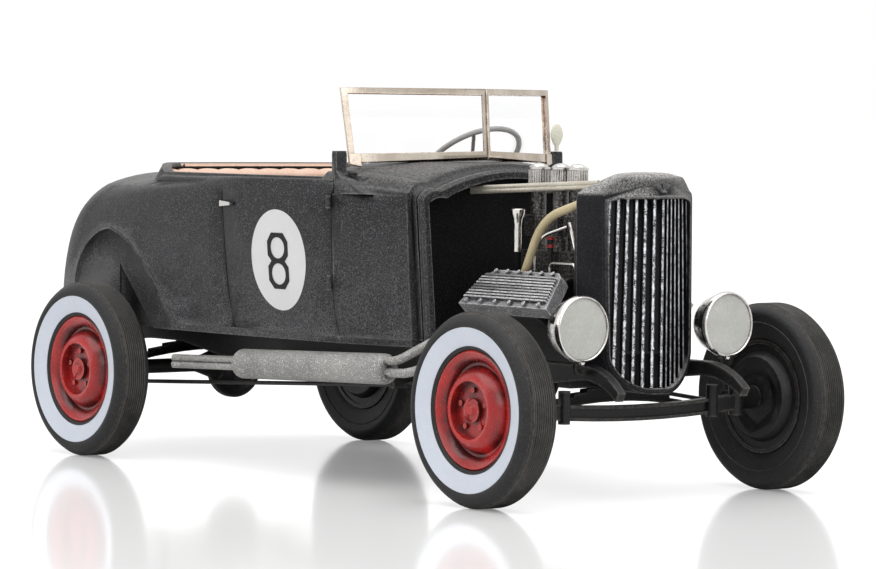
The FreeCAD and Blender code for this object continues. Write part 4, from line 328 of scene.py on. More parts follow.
# In the materials below, each recess colour is painted shade laid into hollows and joints.
MATERIALS = {
    # The body's dust colour is settled dust and a painted sheen on its upward faces.
    "body_paint": painted(
        "charcoal body paint", (0.0060, 0.0060, 0.0073), (0.0130, 0.0130, 0.0146),
        (0.33, 0.33, 0.34), fleck_share=0.38, grain=15500.0, roughness=0.48, bump=0.016,
        edge=(0.17, 0.165, 0.16), edge_reach=0.09, recess_shade=(0.0006, 0.0006, 0.0008),
        recess_shade_reach=0.15, recess_shade_break=500.0, recess_shade_depth=3.2, dust=(0.16, 0.155, 0.15),
        dust_and_sheen_break=9000.0, road=(0.150, 0.150, 0.155), Specular_IOR_Level=0.30),
    "chassis_black": painted(
        "black chassis plastic", (0.006, 0.006, 0.0065), (0.010, 0.0095, 0.0095),
        (0.06, 0.058, 0.055), fleck_share=0.25, roughness=0.42, bump=0.010,
        edge=(0.085, 0.078, 0.072), Specular_IOR_Level=0.26),
    "tan_trim": painted(
        "tan upholstery paint", (0.68, 0.44, 0.33), (0.76, 0.54, 0.42), (0.86, 0.72, 0.62),
        roughness=0.62, recess_shade=(0.36, 0.17, 0.11), recess_shade_reach=0.30, edge=(0.88, 0.74, 0.64)),
    "cast_silver": painted(
        "coarse silver paint", (0.17, 0.17, 0.18), (0.27, 0.27, 0.28), (0.85, 0.85, 0.85),
        fleck_share=0.75, grain=13000.0, roughness=0.45, metallic=0.45, bump=0.035,
        recess_shade=(0.030, 0.030, 0.035), recess_shade_reach=0.34, edge=(0.72, 0.72, 0.71),
        edge_reach=0.08),
    "bright_metal": painted(
        "bright plated metal", (0.60, 0.58, 0.56), (0.72, 0.70, 0.67), (0.90, 0.89, 0.86),
        roughness=0.20, swing=0.06, metallic=1.0, bump=0.006, recess_shade=(0.13, 0.10, 0.09),
        recess_shade_reach=0.35),
    "hose_tan": painted(
        "tan hose paint", (0.50, 0.415, 0.24), (0.60, 0.505, 0.30), (0.72, 0.64, 0.45),
        roughness=0.55, recess_shade=(0.06, 0.045, 0.03), edge=(0.58, 0.52, 0.38)),
    "grille_silver": painted(
        "black grille insert", (0.003, 0.003, 0.0035), (0.005, 0.005, 0.006),
        (0.10, 0.10, 0.11), fleck_share=0.12, roughness=0.45, Specular_IOR_Level=0.16),
    "lens": painted(
        "pale speckled lens", (0.45, 0.45, 0.42), (0.54, 0.54, 0.51), (0.66, 0.66, 0.64),
        roughness=0.45, swing=0.08, bump=0.012),
    "screen_frame": painted(
        "etched frame metal", (0.44, 0.37, 0.30), (0.66, 0.60, 0.52), (0.80, 0.77, 0.70),
        fleck_share=0.06, grain=6000.0, roughness=0.22, metallic=0.85, bump=0.002,
        recess_shade=(0.16, 0.10, 0.075), recess_shade_reach=0.15, recess_shade_break=1500.0,
        edge=(0.36, 0.25, 0.19), edge_reach=0.04),
    "mirror_back": painted(
        "cream mirror paint", (0.74, 0.72, 0.58), (0.80, 0.78, 0.66), (0.86, 0.85, 0.76)),
    "wheel_grey": painted(
        "grey steering wheel plastic", (0.30, 0.295, 0.29), (0.38, 0.375, 0.37),
        (0.55, 0.55, 0.54), fleck_share=0.35, edge=(0.46, 0.45, 0.44)),
    "tyre": painted(
        "dark tyre rubber", (0.0105, 0.0105, 0.012), (0.017, 0.0165, 0.018),
        (0.16, 0.15, 0.135), fleck_share=0.20, grain=13000.0, roughness=0.56, bump=0.010,
        edge=(0.085, 0.077, 0.068), edge_reach=0.05, Specular_IOR_Level=0.30),
    "rim_red": painted(
        "red wheel paint", (0.33, 0.007, 0.008), (0.44, 0.013, 0.012), (0.60, 0.09, 0.06),
        fleck_share=0.10, roughness=0.24, swing=0.05, bump=0.004,
        recess_shade=(0.055, 0.004, 0.004), recess_shade_reach=1.05, recess_shade_break=700.0,
        recess_shade_depth=2.6, edge=(0.58, 0.07, 0.045), edge_reach=0.10,
        Specular_IOR_Level=0.50),
    "cap_red": painted(
        "red cap plastic", (0.26, 0.014, 0.010), (0.32, 0.020, 0.014), (0.50, 0.14, 0.10),
        roughness=0.3, recess_shade=(0.03, 0.006, 0.005)),
    "clear_pane": clear_film(),
}
WHITEWALL = painted(
    "white sidewall paint", (0.56, 0.60, 0.68), (0.59, 0.63, 0.70), (0.66, 0.69, 0.74),
    roughness=0.5, bump=0.004)
ROUNDEL_WHITE = painted(
    "pale roundel film", (0.64, 0.64, 0.65), (0.67, 0.67, 0.68), (0.72, 0.72, 0.72),
    roughness=0.45, bump=0.003)
NUMERAL_BLACK = painted(
    "black numeral film", (0.006, 0.006, 0.0065), (0.009, 0.009, 0.010), (0.03, 0.03, 0.03),
    roughness=0.45, bump=0.003, Specular_IOR_Level=0.25)
# The shell's dust colour is mostly a painted highlight on its top, with some dust.
SHELL_PAINT = painted(
    "worn shell paint", (0.0045, 0.0045, 0.0060), (0.009, 0.009, 0.012), (0.17, 0.17, 0.18),
    fleck_share=0.16, grain=15000.0, roughness=0.46, bump=0.010, edge=(0.16, 0.155, 0.15),
    edge_reach=0.07, dust=(0.62, 0.605, 0.58), dust_least=0.24, dust_and_sheen_break=15000.0,
    Specular_IOR_Level=0.14)
CARB_METAL = painted(
    "dark carburettor metal", (0.020, 0.019, 0.019), (0.060, 0.058, 0.056),
    (0.62, 0.60, 0.57), fleck_share=0.45, grain=10000.0, roughness=0.32, metallic=0.5,
    bump=0.016, edge=(0.22, 0.21, 0.20), edge_reach=0.05)
RIB_RUBBER = painted(
    "dusty tread rubber", (0.018, 0.0175, 0.017), (0.066, 0.063, 0.059), (0.24, 0.23, 0.21),
    fleck_share=0.22, grain=13000.0, roughness=0.6, bump=0.008,
    recess_shade=(0.003, 0.003, 0.0032), recess_shade_reach=0.07, Specular_IOR_Level=0.28)
EXHAUST_SILVER = painted(
    "fine silver exhaust paint", (0.20, 0.195, 0.185), (0.32, 0.315, 0.30),
    (0.98, 0.97, 0.94), fleck_share=0.62, grain=13000.0, roughness=0.46, metallic=0.25,
    bump=0.030, recess_shade=(0.05, 0.05, 0.05), recess_shade_reach=0.20, edge=(0.72, 0.72, 0.70),
    edge_reach=0.07)
# Black of the bay, darker and duller than the chassis black as painted shade; it also paints shade
# on the breather's stem.
BAY_BLACK_AND_SHADE = painted(
    "deep black bay paint", (0.0035, 0.0035, 0.004), (0.006, 0.006, 0.007),
    (0.14, 0.14, 0.15), fleck_share=0.14, grain=12000.0, roughness=0.55, bump=0.012,
    Specular_IOR_Level=0.08)
ROD_METAL = painted(
    "cream rod metal", (0.50, 0.46, 0.38), (0.60, 0.56, 0.47), (0.86, 0.84, 0.76),
    fleck_share=0.4, roughness=0.35, metallic=0.5, bump=0.006, edge=(0.80, 0.78, 0.70),
    edge_reach=0.05)
BAR_SILVER = brushed_silver()


# ------------------------------------------------------------------- making pieces
def finished(name, mesh, slot, body="car", material=None, replaces=None,
             angle=PIECE_SHARP):
    """Piece on a body with its finish; its mesh is already in place."""
    piece = bpy.data.objects.new(name, mesh)
    bpy.context.scene.collection.objects.link(piece)
    if not mesh.materials:
        mesh.materials.append(material or MATERIALS[slot])
    for polygon in mesh.polygons:
        polygon.use_smooth = True
    mesh.set_sharp_from_angle(angle=math.radians(angle))
    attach(piece, body)
    if replaces:
        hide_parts(replaces)
    return piece


def two_toned(mesh, main, second, is_second):
    """Give a mesh two materials; is_second(polygon) says which faces take the second."""
    mesh.materials.append(main)
    mesh.materials.append(second)
    for polygon in mesh.polygons:
        if is_second(polygon):
            polygon.material_index = 1
    return mesh


def merged_mesh(node):
    """Mesh of a CAD node with shared corners and no needless edges."""
    mesh = bpy.data.meshes.new(f"{node}_mesh")
    work = bmesh.new()
    work.from_mesh(frame["nodes"][node].data)
    bmesh.ops.remove_doubles(work, verts=work.verts, dist=CAD_WELD * MM)
    bmesh.ops.dissolve_limit(work, angle_limit=math.radians(FLAT_ENOUGH), verts=work.verts,
                             edges=work.edges)
    work.to_mesh(mesh)
    work.free()
    return mesh


def moved(mesh, rule):
    """Move each corner, given and returned in mm."""
    for vert in mesh.vertices:
        vert.co = rule(vert.co / MM) * MM
    return mesh


def swelled(mesh, amount):
    """Mesh grown outwards by an amount in mm."""
    grown = [vert.co + vert.normal * amount * MM for vert in mesh.vertices]
    for vert, place in zip(mesh.vertices, grown):
        vert.co = place
    return mesh


def skin(node, angle=SKIN_SHARP, material=None, rule=None, swell=0.0):
    """Smooth copy of a CAD node in its own finish."""
    mesh = merged_mesh(node)
    if rule:
        moved(mesh, rule)
    if swell:
        swelled(mesh, swell)
    return finished(f"{node}_skin", mesh, SLOT[node], BODY_OF[node], material, replaces=node,
                    angle=angle)


def mesh_from(name, corners, faces):
    """Mesh from corners in mm, its faces turned outwards."""
    mesh = bpy.data.meshes.new(name)
    mesh.from_pydata([Vector(corner) * MM for corner in corners], [], faces)
    work = bmesh.new()
    work.from_mesh(mesh)
    bmesh.ops.remove_doubles(work, verts=work.verts, dist=PIECE_WELD * MM)
    bmesh.ops.recalc_face_normals(work, faces=work.faces)
    work.to_mesh(mesh)
    work.free()
    return mesh


def turned(name, profile, centre, side=1, steps=TURN_STEPS, closed=True, axis="y"):
    """Mesh turned from a profile about an axis through centre; side -1 mirrors it."""
    corners, faces = [], []
    count = len(profile)
    for step in range(steps):
        turn = 2 * math.pi * step / steps
        for radius, along in profile:
            a, b, c = radius * math.cos(turn), radius * math.sin(turn), side * along
            corners.append(centre + Vector({"x": (c, a, b), "y": (a, c, b), "z": (a, b, c)}[axis]))
    for step in range(steps):
        here, ahead = step * count, (step + 1) % steps * count
        for i in range(count if closed else count - 1):
            j = (i + 1) % count
            faces.append((here + i, here + j, ahead + j, ahead + i))
    return mesh_from(name, corners, faces)


def islands(node):
    """Boxes, in mm, of the separate solids of a CAD node, from the tail forwards."""
    work = bmesh.new()
    work.from_mesh(merged_mesh(node))
    left, found = set(work.verts), []
    while left:
        pending, group = [left.pop()], []
        while pending:
            vert = pending.pop()
            group.append(vert.co / MM)
            for edge in vert.link_edges:
                other = edge.other_vert(vert)
                if other in left:
                    left.discard(other)
                    pending.append(other)
        found.append((Vector([min(c[i] for c in group) for i in range(3)]),
                      Vector([max(c[i] for c in group) for i in range(3)])))
    work.free()
    return sorted(found, key=lambda ends: ends[0].x)


# ------------------------------------------------------ Geometry Nodes for repeats
RIB_SIDES, PLEAT_SIDES = 6, 8


class Maker:
    """Geometry Nodes tree with named inputs that ends realized, in one material."""

    def __init__(self, name, **inputs):
        self.tree = bpy.data.node_groups.new(name, "GeometryNodeTree")
        self.tree.interface.new_socket("Geometry", in_out="OUTPUT",
                                       socket_type="NodeSocketGeometry")
        for label, kind in inputs.items():
            self.tree.interface.new_socket(label.replace("_", " "), in_out="INPUT",
                                           socket_type=f"NodeSocket{kind}")
        self.start = self.tree.nodes.new("NodeGroupInput").outputs

    def add(self, kind, settings=(), **inputs):
        """First output of a new node."""
        node = self.tree.nodes.new(kind)
        for label, value in settings:
            setattr(node, label, value)
        for label, value in inputs.items():
            plug(self.tree.links, node.inputs[label.replace("_", " ")], value)
        return node.outputs[0]

    def finish(self, shape):
        """Set the shape at Centre, make it real and give it its Material."""
        placed = self.add("GeometryNodeTransform", Geometry=shape,
                          Translation=self.start["Centre"])
        joined = self.add("GeometryNodeRealizeInstances", Geometry=placed)
        coated = self.add("GeometryNodeSetMaterial", Geometry=joined,
                          Material=self.start["Material"])
        end = self.tree.nodes.new("NodeGroupOutput")
        self.tree.links.new(coated, end.inputs[0])
        return self

    def mesh(self, name, **values):
        """Plain mesh made with the given sizes."""
        holder = bpy.data.objects.new(f"{name}_maker", bpy.data.meshes.new(f"{name}_seed"))
        bpy.context.scene.collection.objects.link(holder)
        modifier = holder.modifiers.new("maker", "NODES")
        modifier.node_group = self.tree
        for item in self.tree.interface.items_tree:
            label = item.name.replace(" ", "_")
            if item.in_out == "INPUT" and label in values:
                modifier[item.identifier] = values[label]
        return plain_mesh(holder, name)


def plain_mesh(holder, name):
    """Mesh of an object as it is evaluated; the object itself is removed."""
    graph = bpy.context.evaluated_depsgraph_get()
    made = bpy.data.meshes.new_from_object(holder.evaluated_get(graph), depsgraph=graph)
    made.name = name
    bpy.data.objects.remove(holder)
    return made


def tread_rib_maker():
    """Fine ribs that run round a tyre's tread, side by side."""
    maker = Maker("tread ribs", Radius="Float", Half_width="Float", Count="Int",
                  Rib_radius="Float", Centre="Vector", Material="Material")
    start = maker.start
    hoop = maker.add("GeometryNodeCurvePrimitiveCircle", Resolution=TURN_STEPS,
                     Radius=start["Radius"])
    hoop = maker.add("GeometryNodeTransform", Geometry=hoop, Rotation=(math.pi / 2, 0, 0))
    edge = maker.add("ShaderNodeCombineXYZ", Y=start["Half width"])
    other = maker.add("ShaderNodeVectorMath", (("operation", "SCALE"),), Vector=edge, Scale=-1.0)
    places = maker.add("GeometryNodeMeshLine", (("mode", "END_POINTS"),), Count=start["Count"],
                       Start_Location=other, Offset=edge)
    rows = maker.add("GeometryNodeInstanceOnPoints", Points=places, Instance=hoop)
    section = maker.add("GeometryNodeCurvePrimitiveCircle", Resolution=RIB_SIDES,
                        Radius=start["Rib radius"])
    return maker.finish(maker.add("GeometryNodeCurveToMesh", Curve=rows, Profile_Curve=section))


def pleat_maker():
    """Upright pleats round a filter can."""
    maker = Maker("filter pleats", Radius="Float", Height="Float", Count="Int",
                  Pleat_radius="Float", Centre="Vector", Material="Material")
    start = maker.start
    places = maker.add("GeometryNodeMeshCircle", Vertices=start["Count"], Radius=start["Radius"])
    pleat = maker.add("GeometryNodeMeshCylinder", Vertices=PLEAT_SIDES,
                      Radius=start["Pleat radius"], Depth=start["Height"])
    return maker.finish(maker.add("GeometryNodeInstanceOnPoints", Points=places, Instance=pleat))


TREAD_RIBS = tread_rib_maker()
PLEATS = pleat_maker()

# -------------------------------------------------------------------------- wheels
TREAD_RIB_COUNT = 9
TREAD_RIB_R = 0.052
TREAD_RIB_DROP = 1.15            # of its radius, from a rib's top down to the crown
TREAD_RIB_HALF = 0.47            # outermost ribs from the middle of the tread
CROWN_HALF = 0.52
CROWN_EDGE = (0.02, 0.025)       # its corner is taken off this far down and across
OUTER_WALL = ((2.64, 0.58), (2.72, 0.645), (2.80, 0.682), (2.95, 0.726), (3.15, 0.782),
              (3.38, 0.847))
INNER_WALL = ((2.64, -0.58), (2.72, -0.645), (2.95, -0.726), (3.38, -0.847),
              (3.40, -0.855), (3.43, -0.90), (3.46, -0.873))
BULGE = ((3.70, 0.015), (3.78, 0.0), (3.88, 0.02))   # radius, inside the tyre's half width
SHOULDER = ((4.00, 0.87), (4.10, 0.77), (4.17, 0.68), (4.19, 0.655), (4.165, 0.64),
            (4.205, 0.615), (4.225, 0.59), (4.20, 0.575), (4.235, 0.555), (4.255, 0.53))
WHITE_RING = ((2.80, 0.684), (2.82, 0.702), (2.95, 0.746), (3.15, 0.802), (3.38, 0.867),
              (3.60, 0.931), (3.62, 0.913), (3.38, 0.842), (2.95, 0.722))
WHITE_RING_STEPS = 144


def tyre(end, side_name):
    """Tyre with a ribbed tread, a fine bead on its inner wall and a white outer ring."""
    node, body = f"tyre_{end}_{side_name}", f"wheel_{end}_{side_name}"
    low, high = box(node)
    centre, radius, half = middle(node), (high.z - low.z) / 2, (high.y - low.y) / 2
    side = 1 if centre.y > 0 else -1
    crown = radius - TREAD_RIB_DROP * TREAD_RIB_R
    upper = [(3.62, 0.915), *[(r, half - inside) for r, inside in BULGE], *SHOULDER,
             (crown - CROWN_EDGE[0], CROWN_HALF + CROWN_EDGE[1]), (crown, CROWN_HALF)]
    outer = [*OUTER_WALL, *upper]
    inner = [*INNER_WALL, *[(r, -y) for r, y in upper]]
    rubber = turned(f"{node}_rubber", outer + inner[::-1], centre, side)
    finished(f"{node}_rubber", rubber, "tyre", body, replaces=node, angle=TURNED_SHARP)
    ribs = TREAD_RIBS.mesh(f"{node}_ribs", Radius=(radius - TREAD_RIB_R) * MM,
                           Half_width=TREAD_RIB_HALF * MM, Count=TREAD_RIB_COUNT,
                           Rib_radius=TREAD_RIB_R * MM, Centre=centre * MM, Material=RIB_RUBBER)
    finished(f"{node}_ribs", ribs, "tyre", body)
    name = f"whitewall_{end}_{side_name}"
    ring = turned(name, WHITE_RING, centre, side, steps=WHITE_RING_STEPS)
    finished(name, ring, "tyre", body, WHITEWALL)


for end in ("front", "rear"):
    for side_name in ("left", "right"):
        tyre(end, side_name)
        skin(f"rim_{end}_{side_name}", RIM_SHARP)
        skin(f"drum_{end}_{side_name}")

# ------------------------------------------------------------------- door markings
PAINT_FILM = 0.012               # a marking stands this far off the paint
NUMERAL_FILM = 0.0264
FAR_OUT = 40.0                   # well clear of the car's side
ROUNDEL_HALF = (1.98, 2.38)
ROUNDEL_Z = 10.19
ROUNDEL_BACK = 0.14              # behind the middle of the door
ROUNDEL_RINGS, ROUNDEL_STEPS = 8, 72
NUMERAL_HALF = ((0.45, 1.31), (0.79, 0.90), (0.79, 0.24), (0.52, -0.02), (0.79, -0.29),
                (0.80, -0.95), (0.42, -1.34))
NUMERAL_HOLES = ((0.60, 0.52, 0.50), (-0.63, 0.53, 0.50))   # height, half width, half height
NUMERAL_WIDTH = 0.94
NUMERAL_DROP = 0.03              # below the middle of the oval
HOLE_STEPS = 36
SIDE_PARTS = 8                   # of each side of the numeral's outline


def body_surface():
    """Body's own skin, to lay the markings on."""
    mesh = merged_mesh("body_shell")
    corners = [vert.co / MM for vert in mesh.vertices]
    return BVHTree.FromPolygons(corners, [polygon.vertices for polygon in mesh.polygons])


BODY_SURFACE = body_surface()


def body_side(x, z, side, lift=PAINT_FILM):
    """Point on the body's outer skin at (x, z), lifted off it, in mm."""
    hit = BODY_SURFACE.ray_cast(Vector((x, side * FAR_OUT, z)), Vector((0, -side, 0)))[0]
    return (x, hit.y + side * lift, z)


def marking(name, corners, faces, side, material):
    """Thin marking on the door, its faces turned away from the body."""
    mesh = mesh_from(name, corners, faces)
    if sum(polygon.normal.y for polygon in mesh.polygons) * side < 0:
        mesh.flip_normals()
    finished(name, mesh, "body_paint", material=material)


def roundel(side_name, side):
    """Pale oval on the door, with a plain numeral."""
    x = (middle("door_handles").x + middle("door_hinges").x) / 2 - ROUNDEL_BACK
    steps = ROUNDEL_STEPS
    corners = [body_side(x, ROUNDEL_Z, side)]
    for ring in range(1, ROUNDEL_RINGS + 1):
        wide, tall = [half * ring / ROUNDEL_RINGS for half in ROUNDEL_HALF]
        for step in range(steps):
            turn = 2 * math.pi * step / steps
            corners.append(body_side(x + wide * math.cos(turn),
                                     ROUNDEL_Z + tall * math.sin(turn), side))
    faces = [(0, 1 + step, 1 + (step + 1) % steps) for step in range(steps)]
    for ring in range(ROUNDEL_RINGS - 1):
        first = 1 + ring * steps
        for step in range(steps):
            after = (step + 1) % steps
            faces.append((first + step, first + steps + step, first + steps + after,
                          first + after))
    marking(f"roundel_{side_name}", corners, faces, side, ROUNDEL_WHITE)
    numeral(side_name, side, x)


def numeral(side_name, side, x):
    """Figure eight: an outline with cut corners round two oval openings."""
    outline = [*NUMERAL_HALF, *[(-a, b) for a, b in NUMERAL_HALF[::-1]]]
    loops = [dense(outline, SIDE_PARTS)]
    turns = [2 * math.pi * step / HOLE_STEPS for step in range(HOLE_STEPS)]
    for height, wide, tall in NUMERAL_HOLES:
        loops.append([(wide * math.cos(t), height + tall * math.sin(t)) for t in turns])
    curve = bpy.data.curves.new(f"numeral_{side_name}_outline", "CURVE")
    curve.dimensions = "2D"
    curve.fill_mode = "BOTH"
    for loop in loops:
        spline = curve.splines.new("POLY")
        spline.points.add(len(loop) - 1)
        for point, (a, b) in zip(spline.points, loop):
            point.co = (a, b, 0, 1)
        spline.use_cyclic_u = True
    holder = bpy.data.objects.new("numeral_holder", curve)
    bpy.context.scene.collection.objects.link(holder)
    flat = plain_mesh(holder, f"numeral_{side_name}_flat")
    corners = [body_side(x + NUMERAL_WIDTH * vert.co.x, ROUNDEL_Z - NUMERAL_DROP + vert.co.y,
                         side, NUMERAL_FILM) for vert in flat.vertices]
    faces = [tuple(polygon.vertices) for polygon in flat.polygons]
    marking(f"numeral_{side_name}", corners, faces, side, NUMERAL_BLACK)


def dense(outline, parts):
    """Outline with each side divided."""
    points = []
    for (a, b), (c, d) in zip(outline, outline[1:] + outline[:1]):
        points += [(a + (c - a) * i / parts, b + (d - b) * i / parts) for i in range(parts)]
    return points


# ------------------------------------------------------------------ grille, filters
FOOT_SPREAD = 0.10               # the shell keeps its width down to the chin
FOOT_START = 1.4                 # below the shell's top
FOOT_END = 2.0                   # above its chin
SHOULDER_FALL = 0.42             # the shell's shoulders fall away from its peak
SHOULDER_IN = 0.45               # of the half width, where they start
SHOULDER_DEPTHS = (1.1, 0.3)     # below the top
BAR_FACE = 0.17                  # only the bars' own faces are as narrow
LOOKS_AHEAD = 0.80               # least forward part of such a face's normal
PLEAT_COUNT = 26
PLEAT_R = 0.038
PLEAT_IN = 0.065                 # inside the cap's brim
PLEAT_FOOT, PLEAT_HEAD = 0.04, 0.76


def full_foot(spot):
    """Spread the lower part of the shell and its insert to the width above."""
    low, high = box("grille_shell")
    share = ramp(spot.z, high.z - FOOT_START, low.z + FOOT_END)
    return Vector((spot.x, spot.y * (1 + FOOT_SPREAD * share), spot.z))


def round_shell(spot):
    """Shell with the full foot and with shoulders that fall away from the peak."""
    high = box("grille_shell")[1]
    deep, shallow = SHOULDER_DEPTHS
    fall = SHOULDER_FALL * smooth(abs(spot.y), SHOULDER_IN * high.y, high.y)
    fall *= smooth(spot.z, high.z - deep, high.z - shallow)
    return full_foot(spot) - Vector((0, 0, fall))


def grille():
    """Black insert whose bars carry brushed silver on their front faces."""
    mesh = merged_mesh("grille_insert")

    def is_bar(polygon):
        across = [mesh.vertices[i].co.y / MM for i in polygon.vertices]
        return polygon.normal.x > LOOKS_AHEAD and max(across) - min(across) < BAR_FACE

    two_toned(mesh, MATERIALS["grille_silver"], BAR_SILVER, is_bar)
    finished("grille_insert_skin", moved(mesh, full_foot), "grille_silver",
             replaces="grille_insert", angle=BAR_SHARP)


def filter_cans():
    """Upright pleats round each filter can, under its cap."""
    for number, (low, high) in enumerate(islands("air_filters")):
        centre = (low + high) / 2
        centre.z = low.z + (PLEAT_FOOT + PLEAT_HEAD) / 2
        name = f"filter_pleats_{number}"
        mesh = PLEATS.mesh(name, Radius=((high.x - low.x) / 2 - PLEAT_IN) * MM,
                           Height=(PLEAT_HEAD - PLEAT_FOOT) * MM, Count=PLEAT_COUNT,
                           Pleat_radius=PLEAT_R * MM, Centre=centre * MM,
                           Material=MATERIALS["bright_metal"])
        finished(name, mesh, "bright_metal")


for side_name, side in (("left", 1), ("right", -1)):
    roundel(side_name, side)
grille()
filter_cans()

# --------------------------------------------------------------------------- lamps
LAMP_PROFILE = ((0.0, -1.74), (0.30, -1.72), (0.66, -1.61), (1.00, -1.36), (1.22, -1.04),
                (1.34, -0.70), (1.39, -0.44), (1.40, -0.38), (1.46, -0.37), (1.49, -0.28),
                (1.485, -0.16), (1.455, -0.06), (1.42, -0.015), (1.385, 0.0), (1.35, -0.03),
                (1.335, -0.08), (1.33, -0.14), (0.0, -0.14))
LENS_PROFILE = ((0.0, -0.10), (1.33, -0.10), (1.33, -0.055), (1.18, -0.035), (0.64, -0.01),
                (0.0, 0.0))
LENS_SUNK = 0.045                # behind the bezel's front
CLIP_PROFILE = ((0.0, -0.10), (0.12, -0.08), (0.15, 0.0), (0.12, 0.08), (0.0, 0.10))
CLIP_BACK, CLIP_RISE = 0.16, 0.06
CATCH_PROFILE = ((0.0, -0.20), (0.09, -0.15), (0.14, 0.0), (0.08, 0.15), (0.0, 0.24))
CATCH_AT = Vector((-0.60, -1.36, 0.44))              # from the middle of the lens
LAMP_STEPS, CLIP_STEPS = 72, 20


def lamp_face(side_name):
    """Middle of a headlamp's front, in mm."""
    face = middle(f"headlamp_{side_name}")
    face.x = box(f"headlamp_{side_name}")[1].x
    return face


def lamp_piece(name, profile, place, axis, steps, angle, **more):
    """Turned piece of a headlamp."""
    mesh = turned(name, profile, place, steps=steps, closed=False, axis=axis)
    finished(name, mesh, "bright_metal", angle=angle, **more)


def headlamp(side_name):
    """Plated bucket with a rounded bezel, the clip under it and the catch beside it."""
    node, face = f"headlamp_{side_name}", lamp_face(side_name)
    lamp_piece(f"{node}_bucket", LAMP_PROFILE, face, "x", LAMP_STEPS, TURNED_SHARP,
               replaces=node)
    clip = Vector((face.x - CLIP_BACK, face.y, box(node)[0].z + CLIP_RISE))
    lamp_piece(f"{node}_clip", CLIP_PROFILE, clip, "x", CLIP_STEPS, CLIP_SHARP)
    lamp_piece(f"{node}_catch", CATCH_PROFILE, face + CATCH_AT, "z", CLIP_STEPS,
               CLIP_SHARP, material=MATERIALS["chassis_black"])


def headlamp_lenses():
    """Slightly domed blank lenses inside the bezels, one mesh for both."""
    work = bmesh.new()
    for side_name in ("left", "right"):
        place = lamp_face(side_name) - Vector((LENS_SUNK, 0, 0))
        work.from_mesh(turned("lens_disc", LENS_PROFILE, place, steps=LAMP_STEPS, closed=False,
                              axis="x"))
    mesh = bpy.data.meshes.new("headlamp_lens_discs")
    work.to_mesh(mesh)
    work.free()
    finished("headlamp_lens_discs", mesh, "lens", replaces="headlamp_lenses",
             angle=TURNED_SHARP)


for side_name in ("left", "right"):
    headlamp(side_name)
headlamp_lenses()

# ------------------------------------------------------------ breather, distributor
STEM_R = 0.17
# Radius and drop below the lip, from the stem upwards and then down the inside.
TRUMPET = ((STEM_R, 2.1), (0.20, 1.95), (0.21, 1.2), (0.20, 0.75), (0.25, 0.45), (0.35, 0.22),
           (0.36, 0.02), (0.33, 0.0), (0.27, 0.06), (0.20, 0.25), (0.0, 0.30))
TRUMPET_STEPS = 32
STEM_SHADE_DROP = 1.9                  # the stem is painted black from here down, below the lip, as painted shade
SHAFT_R = 0.10                   # faces of the distributor this near its axis are its shaft


def breather():
    """Trumpet-shaped oil filler with a fat stem, its lower stem painted black as shade."""
    low, high = box("oil_breather")
    foot = middle("oil_breather")
    foot.z = low.z
    lip = high.z - low.z
    profile = [(0.0, 0.0), (STEM_R, 0.0), *[(radius, lip - drop) for radius, drop in TRUMPET]]
    mesh = turned("oil_breather_trumpet", profile, foot, steps=TRUMPET_STEPS,
                  closed=False, axis="z")
    # Painted shade: faces low on the stem take the black bay paint.
    two_toned(mesh, MATERIALS["bright_metal"], BAY_BLACK_AND_SHADE,
              lambda polygon: polygon.center.z / MM < high.z - STEM_SHADE_DROP)
    finished("oil_breather_trumpet", mesh, "bright_metal", replaces="oil_breather",
             angle=TRUMPET_SHARP)


def distributor():
    """Two red caps on a dark shaft."""
    centre = middle("distributor").xy
    mesh = two_toned(merged_mesh("distributor"), MATERIALS["cap_red"],
                     MATERIALS["chassis_black"],
                     lambda polygon: (polygon.center.xy / MM - centre).length < SHAFT_R)
    finished("distributor_skin", mesh, "cap_red", replaces="distributor")


# ------------------------------------------------------ windscreen, body and cockpit
MIRROR_IN = 0.20                 # set towards the middle of the car
MIRROR_WIDER = 1.1
MIRROR_STALK = 0.45              # share of its height
SCREEN_SPLAY = 0.030             # wider at the top, of its width
SCREEN_AHEAD = 0.08              # top set forward
SCREEN_PROW = 0.28               # more in the middle
LOW_BAR = (5.9, 0.42)            # half width and top of the screen's bottom bar
LOW_BAR_DROP = 0.12
SEAT_REAR = box("seat_back")[0].x
SEAT_AHEAD = 0.95                # upper rear of the seat drawn clear of the rim
SEAT_HEIGHTS = (13.0, 14.0)
RIM_SHIFT = 1.20                 # rear of the cockpit rim set forward
RIM_SPAN = [SEAT_REAR + step for step in (-2.8, -1.3, 0.3, 3.2)]
RIM_HEIGHTS = (13.45, 14.0)
POST_BACK = box("door_hinges")[0].x + 0.01
POST_MIDDLE, POST_HALF = middle("mirror").y, 0.375
POST_FIT = 0.012                 # a corner this near a post's side is the post's
POST_REACH = 0.03                # or this far behind it
POST_SLIM = (0.34, 0.80)         # share of the post's length and width that is left
POST_SET_BACK = 0.28
POST_LOW = 13.5
POST_FOOT = (13.55, 14.47)       # it grows slim between these heights
COWL_LIFT = 0.17                 # fuller shoulders of the cowl
COWL_SPAN = [POST_BACK + step for step in (-1.2, 0.0, 2.5, 5.0)]
COWL_WIDTH = (0.4, 3.2, 5.2, 6.5)
COWL_HEIGHTS = (13.2, 14.2)
TRIM_FOOT = 12.6                 # the rim is tan above this height
TRIM_REAR, TRIM_FRONT = SEAT_REAR - 1.5, box("firewall")[0].x - 6.5
TRIM_SIDE = 4.5                  # half width past which the rim's sides begin
RAIL_LEVEL = box("rail_left")[1].z
RAIL_FIT = 0.08                  # a corner this near that height is on the rail's top
FLOOR_GAP = 0.01


def set_mirror(spot):
    """Mirror drawn a little towards the middle of the car, over its stalk."""
    low, high = box("mirror")
    centre = middle("mirror").y
    wider = MIRROR_WIDER if spot.z > low.z + MIRROR_STALK * (high.z - low.z) else 1.0
    return Vector((spot.x, centre - MIRROR_IN + (spot.y - centre) * wider, spot.z))


